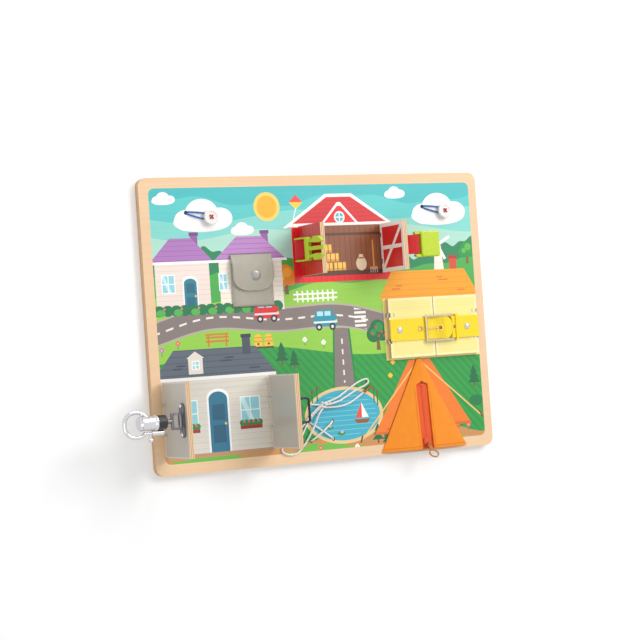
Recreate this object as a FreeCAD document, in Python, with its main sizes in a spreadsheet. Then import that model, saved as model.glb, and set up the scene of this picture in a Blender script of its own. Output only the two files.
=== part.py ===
import FreeCAD, Part
import math
import os
import re
import Sketcher

# Wooden busy board: a printed plywood board with three pairs of small doors, each pair held by
# another fastener, a snap pouch, two button loops, a lace and a zipped tent.
# Millimetres. The board lies on its flat back: X along its long side, Y towards the picture's
# top, Z out of the printed face. The origin is the middle of the back.
# Heights in Y are counted from the board's lower edge, places in X from its middle.

doc = FreeCAD.newDocument("BusyBoard")
sheet = doc.addObject("Spreadsheet::Sheet", "Sizes")
Vector = FreeCAD.Vector
Rotation = FreeCAD.Rotation

SIZES = [
    ("board_width", 400, "long side of the board"),
    ("board_height", 300, "short side of the board"),
    ("board_corner", 9, "corner radius of both layers"),
    ("front_thick", 5, "printed front layer"),
    ("back_thick", 3, "plain back layer"),
    ("recess_deep", 2.8, "hollow behind the front layer for knots and lace"),
    ("fit_air", 0.1, "round a piece let into wood"),
    ("rub", 0.3, "air between pieces that move past each other"),
    ("door_thick", 5, "plywood of the doors"),
    ("door_lift", 0.3, "air between a closed door and the board"),
    ("door_gap", 0.8, "air between the two doors of a pair"),
    ("door_edge", 0.4, "hinge axis to the door's edge"),
    ("barn_middle", 27, "barn doors, middle in X"),
    ("barn_span", 98, "barn doors, hinge axis to hinge axis"),
    ("barn_base", 194.2, "barn doors' foot"),
    ("barn_tall", 52, "barn doors' height"),
    ("barn_pitch", 28, "barn doors, hinge to hinge"),
    ("house_middle", -127.75, "house doors, middle in X"),
    ("house_span", 119.5, "house doors, hinge axis to hinge axis"),
    ("house_base", 18.5, "house doors' foot"),
    ("house_tall", 75.5, "house doors' height"),
    ("house_pitch", 30, "house doors, hinge to hinge"),
    ("shed_middle", 131.7, "belted doors, middle in X"),
    ("shed_span", 112, "belted doors, hinge axis to hinge axis"),
    ("shed_base", 102, "belted doors' foot"),
    ("shed_tall", 63.75, "belted doors' height"),
    ("shed_pitch", 28, "belted doors, hinge to hinge"),
    ("tab_thick", 1.4, "hinge tab, along the hinge axis"),
    ("tab_head", 1.5, "hinge tab, radius round the pin"),
    ("tab_width", 1.8, "hinge tab's shank"),
    ("tab_deep", 4, "hinge tab's shank in the board"),
    ("pin_radius", 0.55, "hinge pin"),
    ("pin_play", 0.05, "hinge pin to its hole"),
    ("ear_thick", 1.2, "hinge leaf's ears, along the axis"),
    ("leaf_thick", 1, "hinge leaf"),
    ("leaf_start", 2, "hinge axis to the leaf's web"),
    ("leaf_end", 8.6, "hinge axis to the leaf's end"),
    ("notch_deep", 2.4, "door's notch round the hinge"),
    ("staple_at", 6.6, "hinge axis to the staple that holds the leaf"),
    ("staple_wide", 1.3, "that staple, along X"),
    ("staple_long", 3.4, "that staple, along Y"),
    ("loop_left", -149.5, "left elastic's hole, in X"),
    ("loop_right", 130, "right elastic's hole, in X"),
    ("loop_height", 263.8, "both elastics' holes"),
    ("button_away", 26.6, "elastic's hole to the button's middle"),
    ("button_slope", -11, "that line's angle to X, degrees"),
    ("elastic_thick", 1.6, "elastic cord"),
    ("elastic_hole", 2.2, "radius of its hole"),
    ("strand_pitch", 1.9, "between the two strands in the hole"),
    ("button_radius", 8, "sewn button"),
    ("button_thick", 3, "sewn button"),
    ("button_lift", 2.3, "board to the button's underside"),
    ("button_hole", 0.9, "radius of the button's four holes"),
    ("button_pitch", 3, "between the button's holes"),
    ("shank_radius", 2, "thread wound under the button"),
    ("thread_thick", 1, "sewing thread, bundled"),
    ("pouch_left", -104.2, "pouch's left edge"),
    ("pouch_right", -57.5, "pouch's right edge"),
    ("pouch_low", 165.8, "lower slot"),
    ("pouch_high", 219, "upper slot"),
    ("pouch_thick", 1.4, "pouch cloth"),
    ("slot_wide", 2, "pouch slots"),
    ("slot_over", 0.5, "slot past each side of the cloth"),
    ("flap_end", 181.8, "flap's lower edge"),
    ("flap_corner", 15, "flap's lower corners"),
    ("stud_across", 2.05, "stud, right of the pouch's middle"),
    ("stud_height", 197.5, "stud, in Y"),
    ("stud_radius", 5.75, "stud's cap"),
    ("lace_left", -24.3, "left column of lace holes"),
    ("lace_right", 2.3, "right column of lace holes"),
    ("lace_top", 60, "upper row of lace holes"),
    ("lace_mid", 41, "middle row of lace holes"),
    ("lace_low", 22, "lower row of lace holes"),
    ("lace_thick", 2, "round lace"),
    ("lace_hole", 2, "radius of the lace holes"),
    ("knot_x", -8.75, "bow's knot, in X"),
    ("knot_y", 57.5, "bow's knot, in Y"),
    ("aglet_radius", 1.35, "lace end's sleeve"),
    ("aglet_long", 11.5, "lace end's sleeve"),
    ("tent_middle", 111.9, "tent's middle line"),
    ("tent_low", 2.6, "tent's hem"),
    ("tent_top", 99.5, "tent's peak"),
    ("tent_half", 53.1, "half the tent's width at the hem"),
    ("peak_half", 2.6, "half the tent's width at the peak"),
    ("tent_bulge", 9, "board to the hem's middle"),
    ("peak_bulge", 2.6, "board to the cloth at the peak"),
    ("tent_thick", 1, "tent cloth"),
    ("slit_foot", 19.3, "lower end of the tent's slits"),
    ("window_half", 7.2, "half the zip's window"),
    ("window_top", 73.8, "upper end of the zip's window"),
    ("tape_half", 9, "zip's middle to a tape's outer edge"),
    ("tape_half_gap", 0.6, "zip's middle to a tape's inner edge"),
    ("tape_long", 72.5, "zip tape, from the hem"),
    ("tape_thick", 0.5, "zip tape"),
    ("zip_sink", 2.35, "cloth's outer middle line down to the tape's middle"),
    ("tooth_pitch", 3, "tooth to tooth on one tape"),
    ("tooth_long", 1.2, "tooth, along the zip"),
    ("tooth_thick", 1.4, "tooth, through the tape"),
    ("tooth_reach", 1.5, "zip's middle to a tooth's root"),
    ("tooth_start", 4.6, "hem to the first tooth"),
    ("slider_long", 10, "zip slider"),
    ("slider_half", 4.1, "half the slider's width"),
    ("slider_plate", 0.9, "slider's plates"),
    ("slider_start", 2.4, "hem to the slider"),
    ("pull_stem", 8.5, "pull's pin to its ring"),
    ("pull_ring", 5.6, "pull's ring, outer radius"),
    ("pull_wire", 1.3, "pull's ring, width of the rim"),
    ("pull_thick", 1.1, "pull's sheet"),
    ("pull_pin", 0.55, "radius of the pull's pin"),
    ("pull_rise", 40, "pull above the zip at rest, degrees"),
    ("web_half", 10, "half the webbing's width"),
    ("web_thick", 1.2, "webbing"),
    ("bar_radius", 1.4, "side-release buckle's two bars"),
    ("plug_across", 20, "hinge axis to the buckle plug's bar"),
    ("plug_out", 14.6, "that bar, out from the door's middle"),
    ("plug_droop", 15, "plug's tilt towards the door, degrees"),
    ("plug_shoulder", 18.5, "plug's bar to its shoulder"),
    ("socket_across", 43.6, "hinge axis to the buckle socket's bar"),
    ("socket_out", 15.5, "that bar, out from the door's middle"),
    ("socket_end", 26.5, "socket's bar to its mouth"),
    ("socket_floor", 4.4, "socket's bar to the bottom of its cavity"),
    ("belt_height", 131.6, "belt's middle line, in Y"),
    ("belt_half", 11.7, "half the belt's width"),
    ("belt_thick", 1.2, "belt"),
    ("fold_gap", 0.05, "between the belt's two layers"),
    ("belt_left", 76.4, "belt's left end"),
    ("belt_tip", 150, "tip of the belt's long end"),
    ("belt_right", 187.7, "belt's right end"),
    ("belt_back", 179, "end of the belt's turned-back layer"),
    ("eyelet_near", 113.5, "free eyelet"),
    ("eyelet_far", 137.2, "eyelet on the prong"),
    ("eyelet_radius", 3.3, "eyelet's flange"),
    ("eyelet_hole", 2.2, "radius of its hole"),
    ("eyelet_tube", 2.5, "radius of its tube"),
    ("eyelet_rim", 0.3, "eyelet's flange, thickness"),
    ("frame_front", 120.4, "belt buckle's free bar"),
    ("frame_front_radius", 1.3, "that bar"),
    ("frame_front_up", 8.1, "that bar, above the board"),
    ("frame_back", 153.2, "belt buckle's hinge bar"),
    ("frame_back_radius", 1, "that bar"),
    ("frame_back_up", 7.6, "that bar, above the board"),
    ("frame_side", 2, "belt buckle's sides, along Y"),
    ("prong_radius", 0.5, "belt buckle's prong"),
    ("rivet_left", 87.8, "belt's left rivet"),
    ("rivet_right", 171.9, "belt's right rivet"),
    ("rivet_radius", 3.4, "belt's rivets"),
    ("pin_rivet_radius", 2.2, "saddle rivets"),
    ("rivet_shank", 1.1, "radius of every rivet's shank"),
    ("rivet_deep", 3.5, "every rivet's shank in the door"),
    ("saddle_thick", 1.2, "saddle plates"),
    ("saddle_half", 17, "half a saddle plate's length"),
    ("saddle_pitch", 28, "between a saddle's rivets"),
    ("clasp_across", 51, "hinge axis to the clasp's eye"),
    ("ring_across", 49, "hinge axis to the ring's bar"),
    ("eye_radius", 1.1, "clasp eye's bar"),
    ("ring_radius", 1.25, "ring's wire"),
    ("knuckle_half", 6, "half the length of the saddles' knuckles"),
    ("knuckle_wall", 1.2, "knuckle's wall round its bar"),
    ("clasp_neck", 2.2, "radius of the clasp's swivel neck"),
    ("swivel_play", 0.1, "round the swivel neck"),
    ("barrel_radius", 7.6, "clasp's barrel"),
    ("hook_thick", 4, "clasp's hook wire"),
    ("gate_radius", 1.4, "clasp's slide bolt"),
    ("gate_play", 0.1, "round the slide bolt"),
    ("gate_offset", 9.8, "slide bolt's line, from the clasp's middle"),
    ("socket_half", 13.5, "half the buckle socket's width"),
    ("socket_deep", 9, "buckle socket, front to back"),
    ("eye_half", 8.5, "half the clasp eye's width"),
    ("eye_rail", 2.2, "clasp eye's rails"),
    ("ring_half", 12.25, "half the ring's width, to the wire's middle"),
    ("ring_tall", 10.5, "ring's height, to the wire's middle"),
    ("ring_corner", 3.2, "ring's corners, to the wire's middle"),
]
aliases = {alias for alias, amount, meaning in SIZES}


def fill_sheet():
    for row, (alias, amount, meaning) in enumerate(SIZES, start=1):
        sheet.set(f"A{row}", meaning)
        sheet.set(f"B{row}", str(amount))
        sheet.setAlias(f"B{row}", alias)
    doc.recompute()


fill_sheet()

# Places that several pieces share, as formulas of the sheet's sizes
FACE = "(back_thick + front_thick)"
FOOT = "(-board_height / 2)"
AXIS = f"({FACE} + door_lift + door_thick / 2)"
OUTSIDE = f"({FACE} + door_lift + door_thick)"
TENT_SLOPE = "(atan((tent_bulge - peak_bulge) / (tent_top - tent_low)))"

DOORS = [
    ("barn_door_left", "barn", -1, True),
    ("barn_door_right", "barn", 1, True),
    ("house_door_left", "house", -1, True),
    ("house_door_right", "house", 1, True),
    ("shed_door_left", "shed", -1, False),
    ("shed_door_right", "shed", 1, False),
]
PLACES = {door: (kind, side, opened) for door, kind, side, opened in DOORS}

# Rivets in each door, from its hinge axis and its middle
SADDLE_RIVET = "saddle_pitch / 2"
BELT_OFF = "(belt_height - shed_base - shed_tall / 2)"
RIVETS = {
    "house_door_left": [("clasp_across - 4.5", f"-{SADDLE_RIVET}"), ("clasp_across - 4.5", SADDLE_RIVET)],
    "house_door_right": [("ring_across + 2", f"-{SADDLE_RIVET}"), ("ring_across + 2", SADDLE_RIVET)],
    "shed_door_left": [("rivet_left - shed_middle + shed_span / 2", BELT_OFF)],
    "shed_door_right": [("shed_middle + shed_span / 2 - rivet_right", f"-{BELT_OFF}")],
}
nodes = []


# Helpers

def size(alias):
    return float(sheet.get(alias))


def bound(text):
    def full(word):
        return "Sizes." + word.group() if word.group() in aliases else word.group()
    return re.sub(r"[a-z][a-z_]*", full, text)


def bind(thing, sizes):
    for path, text in sizes.items():
        thing.setExpression(path, bound(text))


def seat(thing, x="0", y="0", z="0", turn=None):
    if turn is not None:
        thing.Placement = FreeCAD.Placement(Vector(0, 0, 0), turn)
    bind(thing, {"Placement.Base.x": x, "Placement.Base.y": y, "Placement.Base.z": z})
    return thing


def keep(node, thing):
    thing.Label = node
    nodes.append((node, thing))
    return thing


def block(name, x, y, z):
    solid = doc.addObject("Part::Box", name)
    bind(solid, {"Length": f"({x[1]}) - ({x[0]})", "Width": f"({y[1]}) - ({y[0]})",
                 "Height": f"({z[1]}) - ({z[0]})"})
    return seat(solid, x[0], y[0], z[0])


def rod(name, radius, length, x, y, z, along="z"):
    turns = {"x": Rotation(Vector(0, 1, 0), 90), "y": Rotation(Vector(1, 0, 0), -90), "z": Rotation()}
    solid = doc.addObject("Part::Cylinder", name)
    bind(solid, {"Radius": radius, "Height": length})
    return seat(solid, x, y, z, turns[along])


def group(name, pieces):
    compound = doc.addObject("Part::Compound", name)
    compound.Links = pieces
    return compound


def fuse(name, pieces):
    solid = doc.addObject("Part::MultiFuse", name)
    solid.Shapes = pieces
    solid.Refine = True
    return solid


def cut(name, base, tools):
    solid = doc.addObject("Part::Cut", name)
    solid.Base = base
    solid.Tool = tools[0] if len(tools) == 1 else group(name + "_tools", tools)
    solid.Refine = True
    return solid


def origin_plane(body, role):
    return next(plane for plane in body.Origin.OriginFeatures if plane.Role == role)


def profile(body, name, points, role):
    sketch = body.newObject("Sketcher::SketchObject", name)
    sketch.AttachmentSupport = [(origin_plane(body, role), "")]
    sketch.MapMode = "FlatFace"
    count = len(points)
    turn = 2 * math.pi / count
    start = [Vector(9 * math.cos(turn * i), 9 * math.sin(turn * i), 0) for i in range(count)]
    for i in range(count):
        sketch.addGeometry(Part.LineSegment(start[i], start[(i + 1) % count]), False)
    for i in range(count):
        sketch.addConstraint(Sketcher.Constraint("Coincident", i, 2, (i + 1) % count, 1))
    for i, point in enumerate(points):
        for kind, text in zip(("DistanceX", "DistanceY"), point):
            number = sketch.addConstraint(Sketcher.Constraint(kind, -1, 1, i, 1, 1.0))
            sketch.setExpression(f"Constraints[{number}]", bound(text))
    return sketch


def padded(name, points, length, role="XY_Plane", middle=False):
    body = doc.addObject("PartDesign::Body", name)
    pad = body.newObject("PartDesign::Pad", name + "_pad")
    pad.Profile = profile(body, name + "_outline", points, role)
    pad.Midplane = middle
    bind(pad, {"Length": length})
    return body


def turned(name, points):
    body = doc.addObject("PartDesign::Body", name)
    sketch = profile(body, name + "_section", points, "XZ_Plane")
    spin = body.newObject("PartDesign::Revolution", name + "_turn")
    spin.Profile = sketch
    spin.ReferenceAxis = (sketch, ["V_Axis"])
    spin.Angle = 360
    return body


def softened(body, name, radius, wanted):
    doc.recompute()
    edges = [f"Edge{i}" for i, edge in enumerate(body.Tip.Shape.Edges, start=1) if wanted(edge)]
    base = body.Tip
    fillet = body.newObject("PartDesign::Fillet", name)
    fillet.Base = (base, edges)
    bind(fillet, {"Radius": radius})
    body.Tip = fillet
    return body


def along(axis):
    def test(edge):
        if len(edge.Vertexes) != 2:
            return False
        line = edge.Vertexes[1].Point - edge.Vertexes[0].Point
        return abs(abs(line.normalize().dot(axis)) - 1) < 1e-6
    return test


UPRIGHT = along(Vector(0, 0, 1))


def pebble(name, x, y, z, corner, edge):
    """A block with rounded corners, its other edges softened all round."""
    length = f"({z[1]}) - ({z[0]})"
    body = padded(name, [(x[0], y[0]), (x[1], y[0]), (x[1], y[1]), (x[0], y[1])], length)
    softened(body, name + "_corners", corner, UPRIGHT)
    softened(body, name + "_edges", edge, lambda side: not UPRIGHT(side))
    return seat(body, z=z[0])


def feature(name, shape):
    thing = doc.addObject("Part::Feature", name)
    thing.Shape = shape
    return thing


def bent_path(points):
    """Straight runs joined by tangent arcs, with the arcs' radii."""
    edges = []
    radii = []
    before = points[0]
    for last, here, after in zip(points, points[1:], points[2:]):
        back = last - here
        ahead = after - here
        turn = math.pi - back.getAngle(ahead)
        radius = 0.45 * min(back.Length, ahead.Length) / math.tan(turn / 2)
        reach = radius * math.tan(turn / 2)
        back.normalize()
        ahead.normalize()
        enter = here + back * reach
        leave = here + ahead * reach
        middle = (back + ahead).normalize()
        top = here + middle * (radius / math.cos(turn / 2) - radius)
        edges.append(Part.LineSegment(before, enter).toShape())
        edges.append(Part.Arc(enter, top, leave).toShape())
        radii.append(radius)
        before = leave
    edges.append(Part.LineSegment(before, points[-1]).toShape())
    return Part.Wire(edges), radii


def cord(name, points, thick, sides=6):
    """A round cord as a faceted tube of the same section area all along."""
    points = [Vector(*point) for point in points]
    path, radii = bent_path(points)
    ahead = (points[1] - points[0]).normalize()
    side = ahead.cross(Vector(0, 0, 1) if abs(ahead.z) < 0.9 else Vector(1, 0, 0)).normalize()
    other = ahead.cross(side)
    corners = []
    for i in range(sides + 1):
        angle = 2 * math.pi * (i + 0.5) / sides
        corners.append(points[0] + (side * math.cos(angle) + other * math.sin(angle)) * (thick / 2))
    section = Part.makePolygon(corners)
    solid = path.makePipeShell([section], True, False)
    area = Part.Face(section).Area
    print(f"{name}: {path.Length:.1f} long, least radius {min(radii):.2f}, "
          f"volume over section times length {solid.Volume / area / path.Length:.4f}")
    return solid


def strap(points, width, thick):
    """A flat band bent in the XZ plane, its width along Y, its middle line through the points."""
    points = [Vector(x, 0, z) for x, z in points]
    path = bent_path(points)[0]
    ahead = (points[1] - points[0]).normalize()
    across = ahead.cross(Vector(0, 1, 0)) * (thick / 2)
    half = Vector(0, width / 2, 0)
    start = points[0]
    corners = [start + across - half, start + across + half, start - across + half,
               start - across - half, start + across - half]
    return path.makePipeShell([Part.makePolygon(corners)], True, False)


# Board: a printed front layer with all holes and a plain back layer

def board_layer(name, thick, height):
    half_x = "board_width / 2"
    half_y = "board_height / 2"
    corners = [(f"-{half_x}", f"-{half_y}"), (half_x, f"-{half_y}"), (half_x, half_y),
               (f"-{half_x}", half_y)]
    body = padded(name, corners, thick)
    softened(body, name + "_corners", "board_corner", UPRIGHT)
    return seat(body, z=height)


def around(middle, half):
    return (f"{middle} - ({half})", f"{middle} + ({half})")


BUTTON_DX = "(button_away * cos(button_slope))"
BUTTON_DY = "(button_away * sin(button_slope))"
LOOPS = [("left", "loop_left"), ("right", "loop_right")]
LACE_COLUMNS = ("lace_left", "lace_right")
LACE_ROWS = ("lace_top", "lace_mid", "lace_low")
BEHIND = ("back_thick - 1", "back_thick + recess_deep")
THROUGH = ("back_thick - 1", f"{FACE} + 1")


def make_front():
    plate = board_layer("front_plate", "front_thick", "back_thick")
    recesses = [
        block("lace_recess", ("lace_left - 6", "lace_right + 6"),
              (f"{FOOT} + lace_low - 6", f"{FOOT} + lace_top + 6"), BEHIND),
        block("pouch_recess", ("pouch_left - 3", "pouch_right + 3"),
              (f"{FOOT} + pouch_low - 4", f"{FOOT} + pouch_high + 4"), BEHIND),
    ]
    for side, x in LOOPS:
        recesses.append(block(f"loop_recess_{side}", (f"{x} - 5", f"{x} + {BUTTON_DX} + 5"),
                              (f"{FOOT} + loop_height - 12", f"{FOOT} + loop_height + 5"), BEHIND))
    hollow = cut("front_hollow", plate, recesses)
    holes = []
    for side, x in LOOPS:
        holes.append(rod(f"loop_hole_{side}", "elastic_hole", "front_thick + 2", x,
                         f"{FOOT} + loop_height", "back_thick - 1"))
        holes.append(rod(f"shank_hole_{side}", "shank_radius + 0.2", "front_thick + 2",
                         f"{x} + {BUTTON_DX}",
                         f"{FOOT} + loop_height + {BUTTON_DY}", "back_thick - 1"))
    for column in LACE_COLUMNS:
        for row in LACE_ROWS:
            holes.append(rod(f"{column}_{row}_hole", "lace_hole", "front_thick + 2", column,
                             f"{FOOT} + {row}", "back_thick - 1"))
    for row in ("pouch_low", "pouch_high"):
        holes.append(block(f"{row}_slot", ("pouch_left - slot_over", "pouch_right + slot_over"),
                           around(f"{FOOT} + {row}", "slot_wide / 2"), THROUGH))
    for door, kind, side, opened in DOORS:
        for end in (-1, 1):
            x, y = hinge_place(kind, side, end)
            holes.append(block(f"{door}_tab_slot_{end + 2}", around(x, "tab_width / 2 + fit_air"),
                               around(y, "tab_thick / 2 + fit_air"), (f"{FACE} - tab_deep - fit_air",
                                                                      f"{FACE} + 1")))
    for side in (-1, 1):
        holes.append(tent_slit(f"tent_slit_{side + 2}", side, "(tent_thick + 2 * rub)", THROUGH))
    return cut("front_board", hollow, holes)


def hinge_place(kind, side, end):
    x = f"({kind}_middle + {side} * {kind}_span / 2)"
    y = f"({FOOT} + {kind}_base + {kind}_tall / 2 + {end} * {kind}_pitch / 2)"
    return x, y


SLIT_LEAN = "atan((tent_half - peak_half) / (tent_top - tent_low))"


def tent_slit(name, side, wide, height):
    """An upright plate along one edge of the tent, from the slit's foot to the peak."""
    plate = doc.addObject("Part::Box", name)
    rise = "(tent_top - slit_foot)"
    run = "((tent_half - peak_half) / (tent_top - tent_low))"
    bind(plate, {"Length": wide, "Width": f"{rise} / cos({SLIT_LEAN}) - 1",
                 "Height": f"({height[1]}) - ({height[0]})"})
    foot_half = f"(peak_half + {rise} * {run} - tent_thick / 2)"
    tall = size("tent_top") - size("tent_low")
    lean = math.degrees(math.atan((size("tent_half") - size("peak_half")) / tall))
    plate.Placement = FreeCAD.Placement(Vector(0, 0, 0), Rotation(Vector(0, 0, 1), side * lean))
    bind(plate, {
        "Placement.Base.x": f"tent_middle + {side} * {foot_half} - cos({SLIT_LEAN}) * {wide} / 2",
        "Placement.Base.y": f"{FOOT} + slit_foot - {side} * sin({SLIT_LEAN}) * {wide} / 2",
        "Placement.Base.z": height[0],
    })
    return plate


keep("front_board", make_front())
keep("back_board", board_layer("back_plate", "back_thick", "0"))


# Doors: each is drawn closed from its own hinge axis, +X across the door and +Z outwards

def door_turn(side, opened):
    closed = Rotation(Vector(0, 0, 1), 0 if side < 0 else 180)
    return Rotation(Vector(0, 1, 0), 90 * side).multiply(closed) if opened else closed


def hang(thing, kind, side, opened):
    x = f"{kind}_middle + {side} * {kind}_span / 2"
    y = f"{FOOT} + {kind}_base + {kind}_tall / 2"
    return seat(thing, x, y, AXIS, door_turn(side, opened))


def door_width(kind):
    return f"(({kind}_span - door_gap) / 2 - door_edge)"


def door_panel(door, kind):
    panel = block(door + "_panel", ("door_edge", f"door_edge + {door_width(kind)}"),
                  (f"-{kind}_tall / 2", f"{kind}_tall / 2"), ("-door_thick / 2", "door_thick / 2"))
    ear_side = "tab_thick / 2 + rub + ear_thick"
    cuts = []
    for end in (-1, 1):
        y = f"{end} * {kind}_pitch / 2"
        cuts.append(block(f"{door}_notch_{end + 2}", ("door_edge - 1", "notch_deep"),
                          around(y, f"{ear_side} + rub"), ("-door_thick", "door_thick")))
        cuts.append(block(f"{door}_mortise_{end + 2}", ("notch_deep - 0.5", "leaf_end + fit_air"),
                          around(y, f"{ear_side} + fit_air"), around("0", "leaf_thick / 2 + fit_air")))
    tools = [fuse(f"{door}_hinge_cut_{i}", cuts[i:i + 2]) for i in (0, 2)]
    half = cut(door + "_cut", panel, tools)
    marks = []
    for end in (-1, 1):
        y = f"{end} * {kind}_pitch / 2"
        marks.append(block(f"{door}_staple_slot_{end + 2}",
                           around("staple_at", "staple_wide / 2 + fit_air"),
                           around(y, "staple_long / 2 + fit_air"), ("0", "door_thick")))
    for i, (x, y) in enumerate(RIVETS.get(door, [])):
        marks.append(rod(f"{door}_rivet_hole_{i}", "rivet_shank + pin_play", "rivet_deep + 2", x, y,
                         "door_thick / 2 - rivet_deep - fit_air"))
    return cut(door, half, marks)


def hinge_leaves(door, kind):
    leaves = []
    ear_side = "(tab_thick / 2 + rub + ear_thick)"
    for end in (-1, 1):
        y = f"{end} * {kind}_pitch / 2"
        name = f"{door}_leaf_{end + 2}"
        web = block(name + "_web", ("leaf_start", "leaf_end"), around(y, ear_side),
                    around("0", "leaf_thick / 2"))
        ears = [block(f"{name}_ear_{i}", ("-tab_head * 0.6", "leaf_start + 0.2"),
                      (f"{y} + {low}", f"{y} + {high}"), around("0", "tab_head * 0.6"))
                for i, (low, high) in enumerate(((f"-{ear_side}", "-(tab_thick / 2 + rub)"),
                                                 ("(tab_thick / 2 + rub)", ear_side)))]
        pin = rod(name + "_pin", "pin_radius", f"2 * {ear_side}", "0", f"{y} - {ear_side}", "0", "y")
        staple = block(name + "_staple", around("staple_at", "staple_wide / 2"),
                       around(y, "staple_long / 2"), ("0", "door_thick / 2"))
        leaves.append(fuse(name, [web, pin, staple] + ears))
    return group(door + "_leaves", leaves)


def hinge_tab(name, x, y):
    head = rod(name + "_head", "tab_head", "tab_thick", x, f"{y} - tab_thick / 2", AXIS, "y")
    shank = block(name + "_shank", around(x, "tab_width / 2"), around(y, "tab_thick / 2"),
                  (f"{FACE} - tab_deep", f"{AXIS} - pin_radius"))
    hole = rod(name + "_hole", "pin_radius + pin_play", "tab_thick + 2", x, f"{y} - tab_thick / 2 - 1",
               AXIS, "y")
    return cut(name, fuse(name + "_blank", [head, shank]), [hole])


tabs = []
for door, kind, side, opened in DOORS:
    keep(door, hang(door_panel(door, kind), kind, side, opened))
    keep(door + "_hinge_leaves", hang(hinge_leaves(door, kind), kind, side, opened))
    for end in (-1, 1):
        tabs.append(hinge_tab(f"{door}_tab_{end + 2}", *hinge_place(kind, side, end)))
keep("hinge_tabs", group("hinge_tabs", tabs))


# Two sewn buttons, the thread that holds them, and their elastic loops

def button_spot(x):
    return (f"{x} + {BUTTON_DX}", f"{FOOT} + loop_height + {BUTTON_DY}", f"{FACE} + button_lift")


DISH = "(button_thick - 0.6)"
CROSS = "(button_pitch / sqrt(2))"
QUARTER = Rotation(Vector(0, 0, 1), 45)


def button(side, x):
    disc = turned(f"button_{side}_disc", [
        ("0", "0"), ("button_radius - 1.5", "0"), ("button_radius", "0.8"),
        ("button_radius", "button_thick - 0.7"), ("button_radius - 0.8", "button_thick"),
        ("button_radius - 2.4", "button_thick"), ("button_radius - 3", DISH), ("0", DISH)])
    holes = [rod(f"button_{side}_hole_{i}", "button_hole", "button_thick + 2", across, up, "-1")
             for i, (across, up) in enumerate(((CROSS, "0"), (f"-{CROSS}", "0"), ("0", CROSS),
                                               ("0", f"-{CROSS}")))]
    return seat(cut(f"button_{side}", disc, holes), *button_spot(x), QUARTER)


def button_thread(side, x):
    name = f"button_thread_{side}"
    under = "(-button_lift - front_thick + recess_deep)"
    half = "thread_thick / 2"
    low = (DISH, f"{DISH} + thread_thick * 0.8")
    high = (f"{DISH} + thread_thick * 0.8", f"{DISH} + thread_thick * 1.6")
    pieces = [
        rod(name + "_shank", "shank_radius", f"-{under} + 0.5", "0", "0", f"{under} - 0.5"),
        rod(name + "_knot", "shank_radius + 1.4", "recess_deep - 0.6", "0", "0",
            f"{under} - recess_deep + 0.6"),
        block(name + "_bar_low", around("0", f"{CROSS} + {half}"), around("0", half), low),
        block(name + "_bar_high", around("0", half), around("0", f"{CROSS} + {half}"), high),
    ]
    for i, sign in enumerate((-1, 1)):
        pieces.append(block(f"{name}_strand_x{i}", around(f"{sign} * {CROSS}", half), around("0", half),
                            ("-0.1", low[1])))
        pieces.append(block(f"{name}_strand_y{i}", around("0", half), around(f"{sign} * {CROSS}", half),
                            ("-0.1", high[1])))
    return seat(fuse(name, pieces), *button_spot(x), QUARTER)


def elastic_loop(side, x):
    reach = size("button_away")
    beside = size("strand_pitch") / 2
    wide = size("shank_radius") + 1.3
    rise = size("elastic_thick") / 2 + size("rub") + 0.05
    under = size("recess_deep") - size("front_thick")
    half = [(0, -beside, under - 1), (0, -beside, rise), (reach / 2, -wide * 0.8, rise),
            (reach - 0.5, -wide, rise), (reach + 3.6, -wide, rise)]
    other = [(x, -y, z) for x, y, z in reversed(half)]
    loop = cord(f"elastic_loop_{side}", half + other, size("elastic_thick"))
    knot = Part.makeCylinder(size("elastic_hole") + 1.2, 2.2, Vector(0, 0, under - 2.2))
    solid = feature(f"elastic_{side}", loop.fuse(knot))
    return seat(solid, x, f"{FOOT} + loop_height", FACE, Rotation(Vector(0, 0, 1), size("button_slope")))


for side, x in LOOPS:
    keep(f"button_{side}", button(side, x))
    keep(f"elastic_loop_{side}", elastic_loop(side, x))
keep("button_threads", group("button_threads", [button_thread(side, x) for side, x in LOOPS]))


# Snap pouch: a pocket through the lower slot, a flap hung from the upper one, and a snap stud

POUCH_X = ("pouch_left", "pouch_right")
POUCH_MIDDLE = "((pouch_left + pouch_right) / 2)"
POCKET_Z = f"({FACE} + 2.2)"
FLAP_Z = f"({POCKET_Z} + 3.2)"
STUD = (f"{POUCH_MIDDLE} + stud_across", f"{FOOT} + stud_height")


def upright_strap(name, points, width):
    """A strap whose points are (Y, Z), its width along X."""
    return feature(name, strap(points, width, size("pouch_thick")))


def make_pocket():
    width = size("pouch_right") - size("pouch_left")
    low = size("pouch_low")
    face = size("back_thick") + size("front_thick")
    points = [(low, size("back_thick") + 1.6), (low, face + 1.9), (low + 8.2, face + 2.2),
              (low + 36.2, face + 2.2), (low + 44.2, face + 0.9)]
    sheet_part = upright_strap("pocket_sheet", points, width)
    seat(sheet_part, POUCH_MIDDLE, FOOT, "0", Rotation(Vector(0, 0, 1), 90))
    pieces = [sheet_part, block("pocket_tuck", POUCH_X, around(f"{FOOT} + pouch_low", "2.6"),
                                ("back_thick + 1.2", "back_thick + recess_deep"))]
    sides = (("left", ("pouch_left", "pouch_left + pouch_thick")),
             ("right", ("pouch_right - pouch_thick", "pouch_right")))
    for side, x in sides:
        pieces.append(block(f"pocket_side_{side}", x, (f"{FOOT} + pouch_low + 9",
                                                       f"{FOOT} + pouch_low + 36"),
                            (FACE, f"{POCKET_Z} - pouch_thick / 4")))
    return fuse("pouch_pocket", pieces)


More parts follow.
